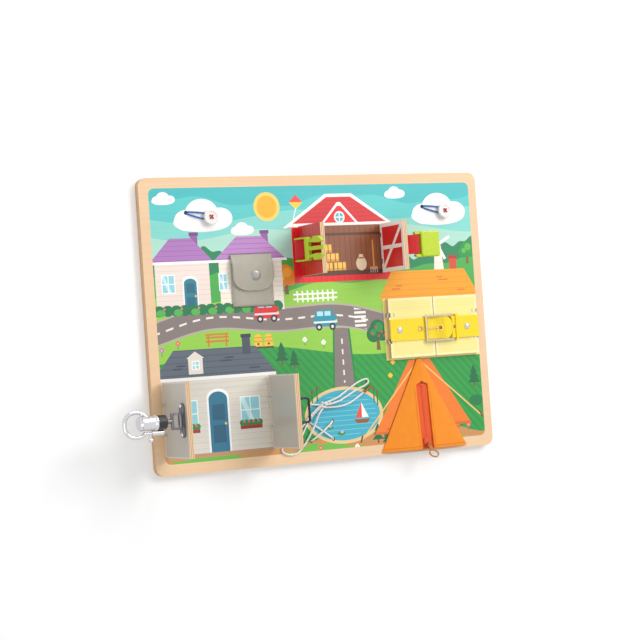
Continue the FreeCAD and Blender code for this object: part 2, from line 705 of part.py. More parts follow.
def make_flap():
    width = size("pouch_right") - size("pouch_left")
    high = size("pouch_high")
    end = size("flap_end")
    top = size("back_thick") + size("front_thick") + 5.4
    points = [(high, top - 4.1), (high - 9, top - 0.8), (high - 13, top), (end + 8.2, top),
              (end, top - 0.8)]
    flap = upright_strap("flap_sheet", points, width)
    seat(flap, POUCH_MIDDLE, FOOT, "0", Rotation(Vector(0, 0, 1), 90))
    outline = padded("flap_outline", [("pouch_left", f"{FOOT} + flap_end - 1"),
                                      ("pouch_right", f"{FOOT} + flap_end - 1"),
                                      ("pouch_right",
                                       f"{FOOT} + pouch_high + 9"), ("pouch_left",
                                                                     f"{FOOT} + pouch_high + 9")],
                     "30")
    doc.recompute()
    lower = min(vertex.Point.y for vertex in outline.Tip.Shape.Vertexes)

    def corner(edge):
        return UPRIGHT(edge) and edge.Vertexes[0].Point.y < lower + 1
    softened(outline, "flap_corners", "flap_corner", corner)
    shaped = doc.addObject("Part::Common", "flap_shaped")
    shaped.Base = flap
    shaped.Tool = outline
    hole = rod("flap_stud_hole", "1.9", "20", *STUD, FACE)
    return cut("pouch_flap", shaped, [hole])


keep("pouch_pocket", make_pocket())
keep("pouch_hem", block("pouch_hem", POUCH_X, around(f"{FOOT} + pouch_high", "pouch_thick / 2"),
                        ("back_thick + 1.2", f"{FACE} + 0.2")))
keep("pouch_flap", make_flap())
keep("stud_post", seat(turned("stud_post", [("0", "0"), ("4.5", "0"), ("4.5", "0.3"), ("1.7", "0.3"),
                                            ("1.7", "1.1"), ("0", "1.1")]),
                       *STUD, f"{POCKET_Z} + pouch_thick / 2"))
keep("stud_cap", seat(turned("stud_cap", [
    ("0", "-0.4"), ("2", "-0.4"), ("2", "-1"), ("4.6", "-1"), ("4.6", "0"), ("1.8", "0"),
    ("1.8", "pouch_thick"), ("stud_radius", "pouch_thick"), ("stud_radius", "pouch_thick + 0.6"),
    ("stud_radius - 1.1", "pouch_thick + 1.5"), ("stud_radius / 2.4", "pouch_thick + 1.9"),
    ("0", "pouch_thick + 1.9")]), *STUD, f"{FLAP_Z} - pouch_thick / 2"))


# Lace through six holes, tied in a bow

def spots(points):
    lift = size("board_height") / 2
    return [(x, y - lift, z) for x, y, z in points]


def make_lace():
    left, right = size("lace_left"), size("lace_right")
    top, mid, low = size("lace_top"), size("lace_mid"), size("lace_low")
    thick = size("lace_thick")
    behind = size("back_thick") + size("recess_deep") / 2
    over = size("back_thick") + size("front_thick") + size("rub") + thick / 2
    hump = over + thick + 0.5
    step = (right - left, mid - low)
    crossing = [
        (-11.5, 58.6, over + 0.3), (left, top, over), (left, top,
                                                       behind), (left, mid, behind), (left, mid, over),
        (right, low, over), (right, low, behind), (left, low, behind), (left, low, over),
        (left + 0.36 * step[0], low + 0.36 * step[1], hump), (left + 0.64 * step[0], low + 0.64 * step[1],
                                                              hump),
        (right, mid, over), (right, mid, behind), (right, top,
                                                   behind), (right, top, over), (-6, 58.6, over + 0.3)]
    ear_left = [(-9.4, 60.2, 12.2), (-21.9, 52.1, 12.2), (-32.3, 39.3, 9.5), (-44, 29.5, 9.3),
                (-57, 20.5, 9.3),
                (-60.6, 14.4, 9.3), (-54.4, 10, 9.3), (-44, 9.4,
                                                       9.3), (-35.3, 15.6, 9.4), (-27.5, 26.4, 10),
                (-20.8, 38.4, 12.3), (-14.9, 50.8, 12.2), (-9.8, 55.2, 11.6)]
    ear_right = [(-7.4, 58.2, 12), (6, 59.6, 12.3), (20, 65.5, 9.8), (34, 72.4, 9.3), (43.6, 75.4, 9.3),
                 (48.4, 79, 9.3), (46, 83.2, 9.3), (34, 79.4, 9.3), (20, 71.2, 9.5), (6, 63.8, 12),
                 (-7.2, 60.4, 11.6)]
    tail_left = [(-11.2, 56.6, 10.5), (-18.6, 50.8, 9.3), (-25.4, 44.6, 9.4), (-31.4, 35.4, 9.4),
                 (-36, 27.4, 9.7)]
    tail_right = [(-6.6, 55.8, 10.4), (8, 54.8, 9.3), (22, 57.4, 9.3), (33, 63.2, 9.4), (41, 68.4, 9.7)]
    keep("lace_crossing", feature("lace_crossing", cord("lace_crossing", spots(crossing), thick)))
    for name, points in (("lace_ear_left", ear_left), ("lace_ear_right", ear_right),
                         ("lace_tail_left", tail_left), ("lace_tail_right", tail_right)):
        keep(name, feature(name, cord(name, spots(points), thick)))
    return tail_left, tail_right


def lace_end(name, tail):
    before, last = (Vector(*point) for point in spots(tail)[-2:])
    ahead = (last - before).normalize()
    return feature(name, Part.makeCylinder(size("aglet_radius"), size("aglet_long"), last, ahead))


tails = make_lace()
keep("lace_aglets", group("lace_aglets", [lace_end(f"aglet_{i}", tail) for i, tail in enumerate(tails)]))
keep("lace_knot", pebble("knot_body", around("knot_x", "3.4"), around(f"{FOOT} + knot_y + 0.7", "4.2"),
                         (f"{FACE} + rub", f"{FACE} + rub + 4.8"), "2.8", "2.2"))


# Tent: bulging cloth let into two slits, with a zip in its window

zip_rise = size("tent_top") - size("tent_low")
zip_lean = math.degrees(math.atan((size("tent_bulge") - size("peak_bulge")) / zip_rise))


def tent_section(y, half, bulge):
    face = size("back_thick") + size("front_thick")
    thick = size("tent_thick")
    middle = size("tent_middle")
    foot = size("board_height") / 2
    outer_edge = face + size("rub") + thick * 0.95
    inner_edge = face + size("rub")
    corners = [Vector(middle - half, y - foot, outer_edge), Vector(middle + half, y - foot, outer_edge),
               Vector(middle + half, y - foot, inner_edge), Vector(middle - half, y - foot, inner_edge)]
    outer = Part.Arc(corners[0], Vector(middle, y - foot, face + bulge), corners[1]).toShape()
    inner = Part.Arc(corners[2], Vector(middle, y - foot, face + bulge - thick), corners[3]).toShape()
    return Part.Wire([outer, Part.makeLine(corners[1], corners[2]), inner,
                      Part.makeLine(corners[3], corners[0])])


def on_zip(thing):
    return seat(thing, "tent_middle", f"{FOOT} + tent_low", f"{FACE} + tent_bulge",
                Rotation(Vector(1, 0, 0), -zip_lean))


def make_tent():
    sections = [tent_section(size("tent_low"), size("tent_half"), size("tent_bulge")),
                tent_section(size("tent_top"), size("peak_half"), size("peak_bulge"))]
    cloth = feature("tent_cloth", Part.makeLoft(sections, True, True))
    window = block("tent_window", around("tent_middle", "window_half"),
                   (f"{FOOT} + tent_low - 5", f"{FOOT} + window_top"), (FACE, f"{FACE} + 30"))
    pieces = [cut("tent_opened", cloth, [window])]
    for i, side in enumerate((-1, 1)):
        pieces.append(tent_slit(f"tent_leg_{i}", side, "tent_thick", ("back_thick", f"{FACE} + rub + 0.6")))
    hems = []
    for i, x in enumerate((("-tape_half", "-window_half"), ("window_half", "tape_half"))):
        hems.append(block(f"tent_hem_{i}", x, ("0.2", "window_top - tent_low - 0.5"),
                          ("tape_thick / 2 - zip_sink", "-tent_thick")))
    pieces.append(on_zip(group("tent_hems", hems)))
    return fuse("tent_cover", pieces)


TAPE_Z = around("-zip_sink", "tape_thick / 2")
TOOTH_Z = around("-zip_sink", "tooth_thick / 2")
TEETH = 21


def zip_tape(side, sign, late):
    def across(near, far):
        return (near, far) if sign > 0 else (f"-({far})", f"-({near})")
    name = f"zip_tape_{side}"
    pieces = [block(name + "_cloth", across("tape_half_gap", "tape_half"), ("0", "tape_long"), TAPE_Z)]
    for i in range(TEETH):
        y = f"tooth_start + {i} * tooth_pitch + {late} * tooth_pitch / 2"
        pieces.append(block(f"{name}_tooth_{i}", across("-0.6", "tooth_reach"), (y, f"{y} + tooth_long"),
                            TOOTH_Z))
    return on_zip(fuse(name, pieces))


SLIDER_TOP = "(tooth_thick / 2 + rub - zip_sink)"
SLIDER_LOW = "(-tooth_thick / 2 - rub - zip_sink)"
SLIDER_Y = ("slider_start", "slider_start + slider_long")
PULL_Y = "(slider_start + 3)"
PULL_Z = f"({SLIDER_TOP} + slider_plate + 1.4)"


def zip_slider():
    wide, narrow = "slider_half", "(slider_half - 0.8)"
    nose, waist, tail = SLIDER_Y[0], "(slider_start + 2.6)", SLIDER_Y[1]
    outline = [(f"-{narrow}", nose), (narrow, nose), (wide, waist), (wide, f"{tail} - 2"),
               (f"{wide} - 0.6", tail),
               (f"0.6 - {wide}", tail), (f"-{wide}", f"{tail} - 2"), (f"-{wide}", waist)]
    plates = []
    for name, height in (("slider_top", SLIDER_TOP), ("slider_low", f"({SLIDER_LOW} - slider_plate)")):
        plate = padded(name, outline, "slider_plate")
        softened(plate, name + "_corners", "0.9", UPRIGHT)
        plates.append(seat(plate, z=height))
    pieces = plates + [
        block("slider_post", around("0", "0.28"), ("slider_start", "slider_start + 1.6"),
              (SLIDER_LOW, SLIDER_TOP)),
        block("slider_lug", around("0", "0.9"), around(PULL_Y, "1.7"),
              (f"{SLIDER_TOP} + slider_plate / 2", f"{PULL_Z} + 1.3")),
    ]
    for i, sign in enumerate((-1, 1)):
        x = around(f"{sign} * (slider_half - 0.5)", "0.5")
        lip_y = (waist, f"{tail} - 2")
        pieces.append(block(f"slider_lip_top_{i}", x, lip_y,
                            ("tape_thick / 2 + rub - zip_sink", SLIDER_TOP)))
        pieces.append(block(f"slider_lip_low_{i}", x, lip_y,
                            (SLIDER_LOW, "-tape_thick / 2 - rub - zip_sink")))
    hole = rod("slider_hole", "pull_pin + 0.1", "4", "-2", PULL_Y, PULL_Z, "x")
    return on_zip(cut("zip_slider", fuse("slider_blank", pieces), [hole]))


def zip_pull():
    sheet_z = around("0", "pull_thick / 2")
    ring_y = "(-pull_stem - pull_ring)"
    ring = cut("pull_ring_part", rod("pull_disc", "pull_ring", "pull_thick", "0", ring_y,
                                     "-pull_thick / 2"),
               [rod("pull_hole", "pull_ring - pull_wire", "pull_thick + 2", "0", ring_y,
                    "-pull_thick / 2 - 1")])
    pieces = [ring, rod("pull_pin_part", "pull_pin", "4.4", "-2.2", "0", "0", "x"),
              block("pull_web", around("0", "2.2"), ("-pull_stem - pull_wire * 0.7", "-2.9"), sheet_z)]
    for i, sign in enumerate((-1, 1)):
        pieces.append(block(f"pull_arm_{i}", around(f"{sign} * 1.75", "0.45"), ("-3", "0.8"), sheet_z))
    lean = math.radians(zip_lean)
    y = f"{FOOT} + tent_low + {PULL_Y} * cos({TENT_SLOPE}) + {PULL_Z} * sin({TENT_SLOPE})"
    z = f"{FACE} + tent_bulge - {PULL_Y} * sin({TENT_SLOPE}) + {PULL_Z} * cos({TENT_SLOPE})"
    turn = Rotation(Vector(1, 0, 0), -(size("pull_rise") + zip_lean))
    return seat(fuse("zip_pull", pieces), "tent_middle", y, z, turn)


keep("tent_cover", make_tent())
keep("zip_tape_left", zip_tape("left", -1, 1))
keep("zip_tape_right", zip_tape("right", 1, 0))
stops = [block("stop_left", ("-2.4", "-tape_half_gap"), ("0.5", "1.8"), around("-zip_sink", "tooth_thick")),
         block("stop_right", ("tape_half_gap", "2.4"), ("0.5", "1.8"), around("-zip_sink", "tooth_thick")),
         block("stop_top", around("0", "2.4"), ("68.4", "70"), around("-zip_sink", "tooth_thick"))]
keep("zip_stops", on_zip(group("zip_stops", stops)))
keep("zip_slider", zip_slider())
keep("zip_pull", zip_pull())


# Pieces that a door carries, drawn from its hinge axis

def on_door(node, door, thing):
    kind, side, opened = PLACES[door]
    return keep(node, hang(group(node + "_seated", [thing]), kind, side, opened))


def web_loop(name, bar, foot, gap):
    """Webbing from the door round a buckle's bar and back, with its sewn patch."""
    width = 2 * size("web_half")
    thick = size("web_thick")
    half = size("door_thick") / 2
    radius = gap + thick / 2
    bar = Vector(bar[0], 0, bar[1])
    foot = Vector(foot, 0, half + thick * 0.8)
    ahead = (foot - bar).normalize()
    side = Vector(-ahead.z, 0, ahead.x)
    points = [foot + side * (thick * 0.55), bar + side * radius - ahead * radius,
              bar - side * radius - ahead * radius, foot - side * (thick * 0.55)]
    band = feature(name + "_band", strap([(point.x, point.z) for point in points], width, thick))
    patch = block(name + "_patch", (f"{foot.x - 6}", f"{foot.x + 4.2}"), around("0", "web_half"),
                  ("door_thick / 2", "door_thick / 2 + web_thick"))
    return fuse(name, [patch, band])


def mirrored(name, points, thick):
    """One outline padded on both sides of the buckle's middle."""
    return [padded(name + "_up", points, thick, middle=True),
            padded(name + "_down", [(x, f"-({y})") for x, y in points], thick, middle=True)]


def buckle_plug():
    pieces = [rod("plug_bar", "bar_radius", "2 * web_half + 2", "0", "-web_half - 1", "0", "y"),
              pebble("plug_shoulders", ("plug_shoulder - 6", "plug_shoulder"),
                     around("0", "web_half + 2.2"),
                     around("0", "3"), "1.8", "1.2"),
              block("plug_guide", ("plug_shoulder - 1", "plug_shoulder + 21.6"), around("0", "2"),
                    around("0", "1.8"))]
    pieces += mirrored("plug_cheek", [("-2.5", "web_half + 0.6"), ("13", "web_half + 0.6"),
                                      ("13", "web_half + 2.2"),
                                      ("-1.6", "web_half + 2.2"), ("-2.5", "web_half + 1.6")], "4.6")
    pieces += mirrored("plug_arm", [
        ("plug_shoulder - 1", "6.6"), ("24.5", "6"), ("30", "5.4"), ("35.5",
                                                                     "5.8"), ("38", "6.6"), ("38", "7.6"),
        ("35.3", "10.2"), ("32", "12.2"), ("25.5", "12.2"), ("23.8",
                                                             "9.2"), ("plug_shoulder - 1", "9.4")], "4.4")
    return seat(fuse("buckle_plug_part", pieces), "plug_across", "0", "plug_out",
                Rotation(Vector(0, 1, 0), size("plug_droop")))


def buckle_socket():
    body = pebble("socket_body", ("4", "socket_end"), around("0", "socket_half"),
                  around("0", "socket_deep / 2"),
                  "2.4", "1.5")
    cuts = [block("socket_cavity", ("socket_floor + 1.4", "socket_end + 1"), around("0", "10.7"),
                  around("0", "2.75")),
            pebble("socket_windows", ("9.5", "20.3"), around("0", "socket_half + 3"), around("0", "2.75"),
                   "2", "1")]
    shell = cut("socket_shell", body, [fuse("socket_cuts", cuts)])
    pieces = [shell, rod("socket_bar", "bar_radius", "2 * web_half + 4", "0", "-web_half - 2", "0", "y")]
    pieces += mirrored("socket_cheek", [("-2.1", "10.6"), ("6.5", "10.6"), ("6.5", "socket_half"),
                                        ("-0.8", "socket_half"), ("-2.1", "12.4")], "5")
    return seat(fuse("buckle_socket_part", pieces), "socket_across", "0", "socket_out",
                Rotation(Vector(0, 1, 0), -90))


loop_gap = size("bar_radius") + 0.5
on_door("webbing_left", "barn_door_left", web_loop("web_left", (size("plug_across"), size("plug_out")), 31,
                                                   loop_gap))
on_door("webbing_right", "barn_door_right",
        web_loop("web_right", (size("socket_across"), size("socket_out")), 41.5, loop_gap))
on_door("buckle_plug", "barn_door_left", buckle_plug())
on_door("buckle_socket", "barn_door_right", buckle_socket())


# Rivets: a domed head on a short shank

def rivet(name, radius, under, x, y, z):
    """A rivet whose head stands at height z and whose shank also passes what is under it."""
    part = turned(name, [
        ("0", f"-rivet_deep - {under}"), ("rivet_shank", f"-rivet_deep - {under}"), ("rivet_shank", "0"),
        (radius, "0"), (f"{radius} * 0.9", f"{radius} * 0.24"), (f"{radius} * 0.55", f"{radius} * 0.42"),
        ("0", f"{radius} * 0.47")])
    return seat(part, x, y, z)


def saddle(name, x, bar, hole, plate_x, door):
    """A plate with a knuckle round the bar of a clasp or a ring."""
    outer = f"({hole} + knuckle_wall)"
    plate = padded(name + "_plate", [(f"{plate_x} {sx} 6", f"{sy}saddle_half") for sx, sy in
                                     (("-", "-"), ("+", "-"), ("+", ""), ("-", ""))], "saddle_thick")
    softened(plate, name + "_plate_ends", "5.5", UPRIGHT)
    pieces = [seat(plate, z="door_thick / 2"),
              rod(name + "_knuckle", outer, "2 * knuckle_half", x, "-knuckle_half", bar, "y"),
              block(name + "_neck", around(x, f"{outer} * 0.8"), around("0", "knuckle_half"),
                    ("door_thick / 2 + 0.5", bar))]
    cuts = [rod(name + "_bore", hole, "2 * knuckle_half + 2", x, "-knuckle_half - 1", bar, "y")]
    for i, (rivet_x, rivet_y) in enumerate(RIVETS[door]):
        cuts.append(rod(f"{name}_hole_{i}", "rivet_shank + pin_play", "saddle_thick + 2", rivet_x, rivet_y,
                        "door_thick / 2 - 1"))
    return cut(name, fuse(name + "_blank", pieces), cuts)


def saddle_rivets(name, door):
    return group(name, [rivet(f"{name}_{i}", "pin_rivet_radius", "saddle_thick", x, y,
                              "door_thick / 2 + saddle_thick")
                        for i, (x, y) in enumerate(RIVETS[door])])


OUTWARDS = Rotation(Vector(0, 1, 0), -90)
EYE_HOLE = "(eye_radius + pin_play)"
EYE_OUT = f"(door_thick / 2 + saddle_thick + {EYE_HOLE} + knuckle_wall + rub)"
RING_HOLE = "(ring_radius + pin_play)"
RING_OUT = f"(door_thick / 2 + saddle_thick + {RING_HOLE} + knuckle_wall + rub)"


def clasp_eye():
    frame = pebble("eye_frame", ("-eye_radius - 0.3", "10.2"), around("0", "eye_half"), around("0", "1.5"),
                   "1.4", "0.8")
    window = padded("eye_window", [("-4", "eye_rail - eye_half"), ("7.6", "eye_rail - eye_half"),
                                   ("7.6", "eye_half - eye_rail"), ("-4",
                                                                    "eye_half - eye_rail")], "6", middle=True)
    softened(window, "eye_window_corners", "2.5", UPRIGHT)
    pieces = [cut("eye_open", frame, [window]),
              rod("eye_bar", "eye_radius", "2 * eye_half - 1", "0", "0.5 - eye_half", "0", "y"),
              rod("eye_neck", "clasp_neck", "13", "9.5", "0", "0", "x"),
              rod("eye_head", "clasp_neck + 1.6", "1.6", "22.4", "0", "0", "x")]
    return seat(fuse("clasp_eye_part", pieces), "clasp_across", "0", EYE_OUT, OUTWARDS)


def turned_along(name, points):
    """A turned piece whose axis points away from the door."""
    return seat(turned(name, points), "clasp_across", "0", EYE_OUT)


def clasp_band():
    bore = "clasp_neck + swivel_play"
    return turned_along("clasp_band_part", [
        (bore, "16"), ("barrel_radius - 1", "16"), ("barrel_radius - 0.4",
                                                    "16.8"), ("barrel_radius - 0.4", "25.5"),
        ("clasp_neck + 2", "25.5"), ("clasp_neck + 2", "22"), (bore, "22")])


GATE_Y = ("-gate_offset - gate_radius - 2", "-gate_offset")


def clasp_hook():
    barrel = turned("hook_barrel", [
        ("0", "25.5"), ("barrel_radius", "25.5"), ("barrel_radius", "27"), ("barrel_radius - 0.6", "28.4"),
        ("barrel_radius - 0.6", "41"), ("barrel_radius", "42.2"), ("barrel_radius - 0.8",
                                                                   "44"), ("0", "44")])
    route = [(35.5, 6), (40.5, 10.4), (47, 11.6), (54.5, 9.6), (58.6, 3.6), (58.6, -5.4), (54.2, -11.6),
             (46.8, -13.6), (41, -12.4), (38.4, -10)]
    path = bent_path([Vector(0, y, u) for u, y in route])[0]
    ahead = Vector(0, route[1][1] - route[0][1], route[1][0] - route[0][0])
    section = Part.Wire([Part.makeCircle(size("hook_thick") / 2, Vector(0, route[0][1], route[0][0]),
                                         ahead)])
    wire = feature("hook_wire", path.makePipeShell([section], True, False))
    tip = doc.addObject("Part::Sphere", "hook_tip")
    bind(tip, {"Radius": "hook_thick / 2"})
    seat(tip, "0", f"{route[-1][1]}", f"{route[-1][0]}")
    pieces = [barrel, wire, tip, rod("gate_tube", "gate_radius + 1.1", "12", "0", "-gate_offset", "19")]
    blank = fuse("hook_blank", pieces)
    cuts = [rod("gate_bore", "gate_radius + gate_play", "20", "0", "-gate_offset", "19.6"),
            block("gate_slot", around("0", "1.1"), ("-gate_offset - 6", "-gate_offset"), ("23.6", "35"))]
    band = rod("band_room", "barrel_radius - 0.35", "8", "0", "0", "17.5")
    return seat(cut("clasp_hook_part", blank, [fuse("gate_cuts", cuts), band]), "clasp_across", "0",
                EYE_OUT)


def clasp_gate():
    pieces = [rod("gate_bolt", "gate_radius", "10.6", "0", "-gate_offset", "27"),
              block("gate_lever", around("0", "0.8"), ("-gate_offset - 5.6", "-gate_offset"),
                    ("31.6", "33.4")),
              rod("gate_thumb", "2", "3", "0", "-gate_offset - 6.6", "31")]
    return seat(fuse("clasp_gate_part", pieces), "clasp_across", "0", EYE_OUT)


def hung_ring():
    """One wire bent to a rectangle with round corners and welded."""
    half, tall, corner = size("ring_half"), size("ring_tall"), size("ring_corner")
    middles = [(corner, corner - half, 225), (tall - corner, corner - half, 315),
               (tall - corner, half - corner, 45), (corner, half - corner, 135)]
    bends = []
    for x, y, middle in middles:
        spots_on = [Vector(x + corner * math.cos(math.radians(middle + turn)),
                           y + corner * math.sin(math.radians(middle + turn)), 0) for turn in (-45, 0, 45)]
        bends.append(spots_on)
    edges = []
    for bend, after in zip(bends, bends[1:] + bends[:1]):
        edges.append(Part.Arc(*bend).toShape())
        edges.append(Part.makeLine(bend[2], after[0]))
    path = Part.Wire(edges)
    start = bends[0][0]
    section = Part.Wire([Part.makeCircle(size("ring_radius"), start, Vector(0, 1, 0))])
    wire = feature("ring_wire", path.makePipeShell([section], True, False))
    return seat(wire, "ring_across", "0", RING_OUT, OUTWARDS)


on_door("clasp_saddle", "house_door_left",
        saddle("clasp_saddle_part", "clasp_across", EYE_OUT, EYE_HOLE, "clasp_across - 2.5",
               "house_door_left"))
on_door("clasp_rivets", "house_door_left", saddle_rivets("clasp_rivet", "house_door_left"))
on_door("clasp_eye", "house_door_left", clasp_eye())
on_door("clasp_band", "house_door_left", clasp_band())
on_door("clasp_hook", "house_door_left", clasp_hook())
on_door("clasp_gate", "house_door_left", clasp_gate())
on_door("ring_saddle", "house_door_right",
        saddle("ring_saddle_part", "ring_across", RING_OUT, RING_HOLE, "ring_across + 1",
               "house_door_right"))
on_door("ring_rivets", "house_door_right", saddle_rivets("ring_rivet", "house_door_right"))
on_door("hung_ring", "house_door_right", hung_ring())


# Belt on the two belted doors: a long end with eyelets, a turned-back end with the buckle

BELT_Y = f"({FOOT} + belt_height)"
BELT_SIDES = around(BELT_Y, "belt_half")
belt_face = size("back_thick") + size("front_thick") + size("door_lift") + size("door_thick")
belt_low = belt_face + size("belt_thick") / 2
belt_high = belt_low + size("belt_thick") + size("fold_gap")


def belt_band(name, points):
    return seat(feature(name, strap(points, 2 * size("belt_half"), size("belt_thick"))), "0", BELT_Y, "0")


def make_belt_tail():
    tip = size("belt_tip")
    front = size("frame_front")
    band = belt_band("tail_band", [(size("belt_left"), belt_low), (front + 3, belt_low),
                                   (front + 12.8, belt_low + 0.3),
                                   (front + 20.8, belt_low + 5.7), (front + 25.6,
                                                                    belt_low + 6), (tip, belt_low + 6.1)])
    ends = ("belt_left - 1", "belt_tip")
    outline = padded("tail_outline", [(ends[0], f"{BELT_Y} - belt_half - 1"),
                                      ("belt_tip", f"{BELT_Y} - belt_half - 1"),
                                      ("belt_tip",
                                       f"{BELT_Y} + belt_half + 1"), (ends[0],
                                                                      f"{BELT_Y} + belt_half + 1")], "40")
    doc.recompute()
    right = max(vertex.Point.x for vertex in outline.Tip.Shape.Vertexes)

    def corner(edge):
        return UPRIGHT(edge) and edge.Vertexes[0].Point.x > right - 1
    softened(outline, "tail_corners", "belt_half - 1.5", corner)
    shaped = doc.addObject("Part::Common", "tail_shaped")
    shaped.Base = band
    shaped.Tool = outline
    holes = [rod("tail_rivet_hole", "rivet_shank + pin_play", "20", "rivet_left", BELT_Y, "back_thick"),
             rod("tail_eyelet_hole", "eyelet_tube", "20", "eyelet_near", BELT_Y, "back_thick"),
             eyelet_rod("tail_prong_hole", "eyelet_tube", "-3", "3")]
    return cut("belt_tail", shaped, holes)


rise = math.degrees(math.atan(5.4 / 8))
FAR_Z = f"({OUTSIDE} + belt_thick / 2 + 0.3 + (eyelet_far - frame_front - 12.8) * 5.4 / 8)"


def eyelet_rod(name, radius, low, high):
    """A cylinder square to the belt's rising stretch, at the far eyelet."""
    part = doc.addObject("Part::Cylinder", name)
    bind(part, {"Radius": radius, "Height": f"({high}) - ({low})"})
    lean = f"{rise}"
    return seat(part, f"eyelet_far - sin({lean}) * ({low})", BELT_Y, f"{FAR_Z} + cos({lean}) * ({low})",
                Rotation(Vector(0, 1, 0), -rise))


def make_eyelets():
    near = cut("eyelet_near_part", fuse("eyelet_near_blank", [
        rod("near_rim", "eyelet_radius", "eyelet_rim", "eyelet_near", BELT_Y, f"{OUTSIDE} + belt_thick"),
        rod("near_tube", "eyelet_tube", "belt_thick + eyelet_rim / 2", "eyelet_near", BELT_Y, OUTSIDE)]),
        [rod("near_bore", "eyelet_hole", "9", "eyelet_near", BELT_Y, f"{OUTSIDE} - 2")])
    far = cut("eyelet_far_part", fuse("eyelet_far_blank", [
        eyelet_rod("far_rim", "eyelet_radius", "belt_thick / 2", "belt_thick / 2 + eyelet_rim"),
        eyelet_rod("far_tube", "eyelet_tube", "-belt_thick / 2", "belt_thick / 2 + eyelet_rim / 2")]),
        [eyelet_rod("far_bore", "eyelet_hole", "-4", "4")])
    return group("belt_eyelets", [near, far])


def make_belt_strap():
    back = size("frame_back")
    high = size("back_thick") + size("front_thick") + size("frame_back_up")
    turn = size("frame_back_radius") + 0.05 + size("belt_thick") / 2
    band = belt_band("strap_band", [(size("belt_right"), belt_low), (back - turn - 0.05, belt_low),
                                    (back - turn - 0.05, high + turn), (back + 1.1, high + turn),
                                    (back + 3.2, belt_high), (size("belt_back"), belt_high)])
    cuts = [block("strap_slot", ("frame_back - 4", "frame_back + 3.4"), around(BELT_Y, "1.5"),
                  (FACE, f"{FACE} + 20")),
            rod("strap_rivet_hole", "rivet_shank + pin_play", "20", "rivet_right", BELT_Y, "back_thick")]
    return cut("belt_strap", band, cuts)


FRAME_IN = "(belt_half + 0.4)"
BACK_Z = f"({FACE} + frame_back_up)"
FRONT_Z = f"({FACE} + frame_front_up)"


def make_belt_buckle():
    length = f"2 * ({FRAME_IN} + frame_side)"
    start = f"{BELT_Y} - {FRAME_IN} - frame_side"
    pieces = [rod("frame_front_bar", "frame_front_radius", length, "frame_front", start, FRONT_Z, "y"),
              rod("frame_back_bar", "frame_back_radius", length, "frame_back", start, BACK_Z, "y")]
    low, high = f"{BACK_Z} - 0.9", f"{BACK_Z} + 1.8"
    for i, sign in enumerate((-1, 1)):
        cheek = padded(f"frame_side_{i}", [
            ("frame_front - frame_front_radius", low), ("frame_back + 1.4",
                                                        low), ("frame_back + 1.4", f"{low} + 1.9"),
            ("frame_back - 5", f"{high} + 0.4"), ("frame_front + 6", f"{high} + 0.4"),
            ("frame_front - frame_front_radius", high)], "frame_side", "XZ_Plane", True)
        softened(cheek, f"frame_side_{i}_ends", "0.9", along(Vector(0, 1, 0)))
        pieces.append(seat(cheek, y=f"{BELT_Y} + {sign} * ({FRAME_IN} + frame_side / 2)"))
    return fuse("belt_buckle", pieces)


def make_prong():
    face = size("back_thick") + size("front_thick")
    front = (size("frame_front"), face + size("frame_front_up") + size("frame_front_radius"))
    radius = size("prong_radius")
    start = (size("frame_back") - 1.2, face + size("frame_back_up") + 0.3)
    tip = (front[0] - 1.5, front[1] + radius + 0.1)
    middle = (size("eyelet_far") + 0.2, start[1] + 0.95)
    bar = cord("prong_bar", [(x, 0, z) for x, z in (start, middle, tip)], 2 * radius)
    knuckle = rod("prong_knuckle", "frame_back_radius + 0.95", "2.4", "frame_back", "-1.2", BACK_Z, "y")
    hole = rod("prong_hole", "frame_back_radius + pin_play", "6", "frame_back", "-3", BACK_Z, "y")
    return seat(cut("belt_prong", fuse("prong_blank", [feature("prong_bar", bar), knuckle]), [hole]), "0",
                BELT_Y, "0")


def make_keeper():
    x = ("frame_back + 4", "frame_back + 6.6")
    layers = f"{OUTSIDE} + 2 * belt_thick + rub"
    blank = block("keeper_blank", x, around(BELT_Y, f"{FRAME_IN} + frame_side"),
                  (OUTSIDE, f"{layers} + 1.1"))
    room = block("keeper_room", ("frame_back", "frame_back + 9"), around(BELT_Y, FRAME_IN),
                 (f"{OUTSIDE} - 1", layers))
    return cut("belt_keeper", blank, [room])


keep("belt_tail", make_belt_tail())
keep("belt_eyelets", make_eyelets())
keep("belt_strap", make_belt_strap())
keep("belt_buckle", make_belt_buckle())
keep("belt_prong", make_prong())
keep("belt_keeper", make_keeper())
keep("belt_rivet_left", rivet("belt_rivet_left", "rivet_radius", "belt_thick", "rivet_left", BELT_Y,
                              f"{OUTSIDE} + belt_thick"))
keep("belt_rivet_right", rivet("belt_rivet_right", "rivet_radius", "2 * belt_thick", "rivet_right", BELT_Y,
                               f"{OUTSIDE} + 2 * belt_thick + fold_gap"))


doc.recompute()
for thing in doc.Objects:
    if any(word in thing.State for word in ("Invalid", "Error")):
        raise RuntimeError(f"{thing.Name} failed: {thing.State}")
os.makedirs("parts", exist_ok=True)
for node, thing in nodes:
    shape = thing.Shape
    if shape.isNull() or not shape.isValid() or not shape.Solids:
        raise RuntimeError(f"{node} has no valid solid")
    shape.exportStep(f"parts/{node}.step")
    print(node, len(shape.Solids), round(shape.Volume, 1))
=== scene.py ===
import math

import bmesh
import bpy
from mathutils import Matrix, Vector


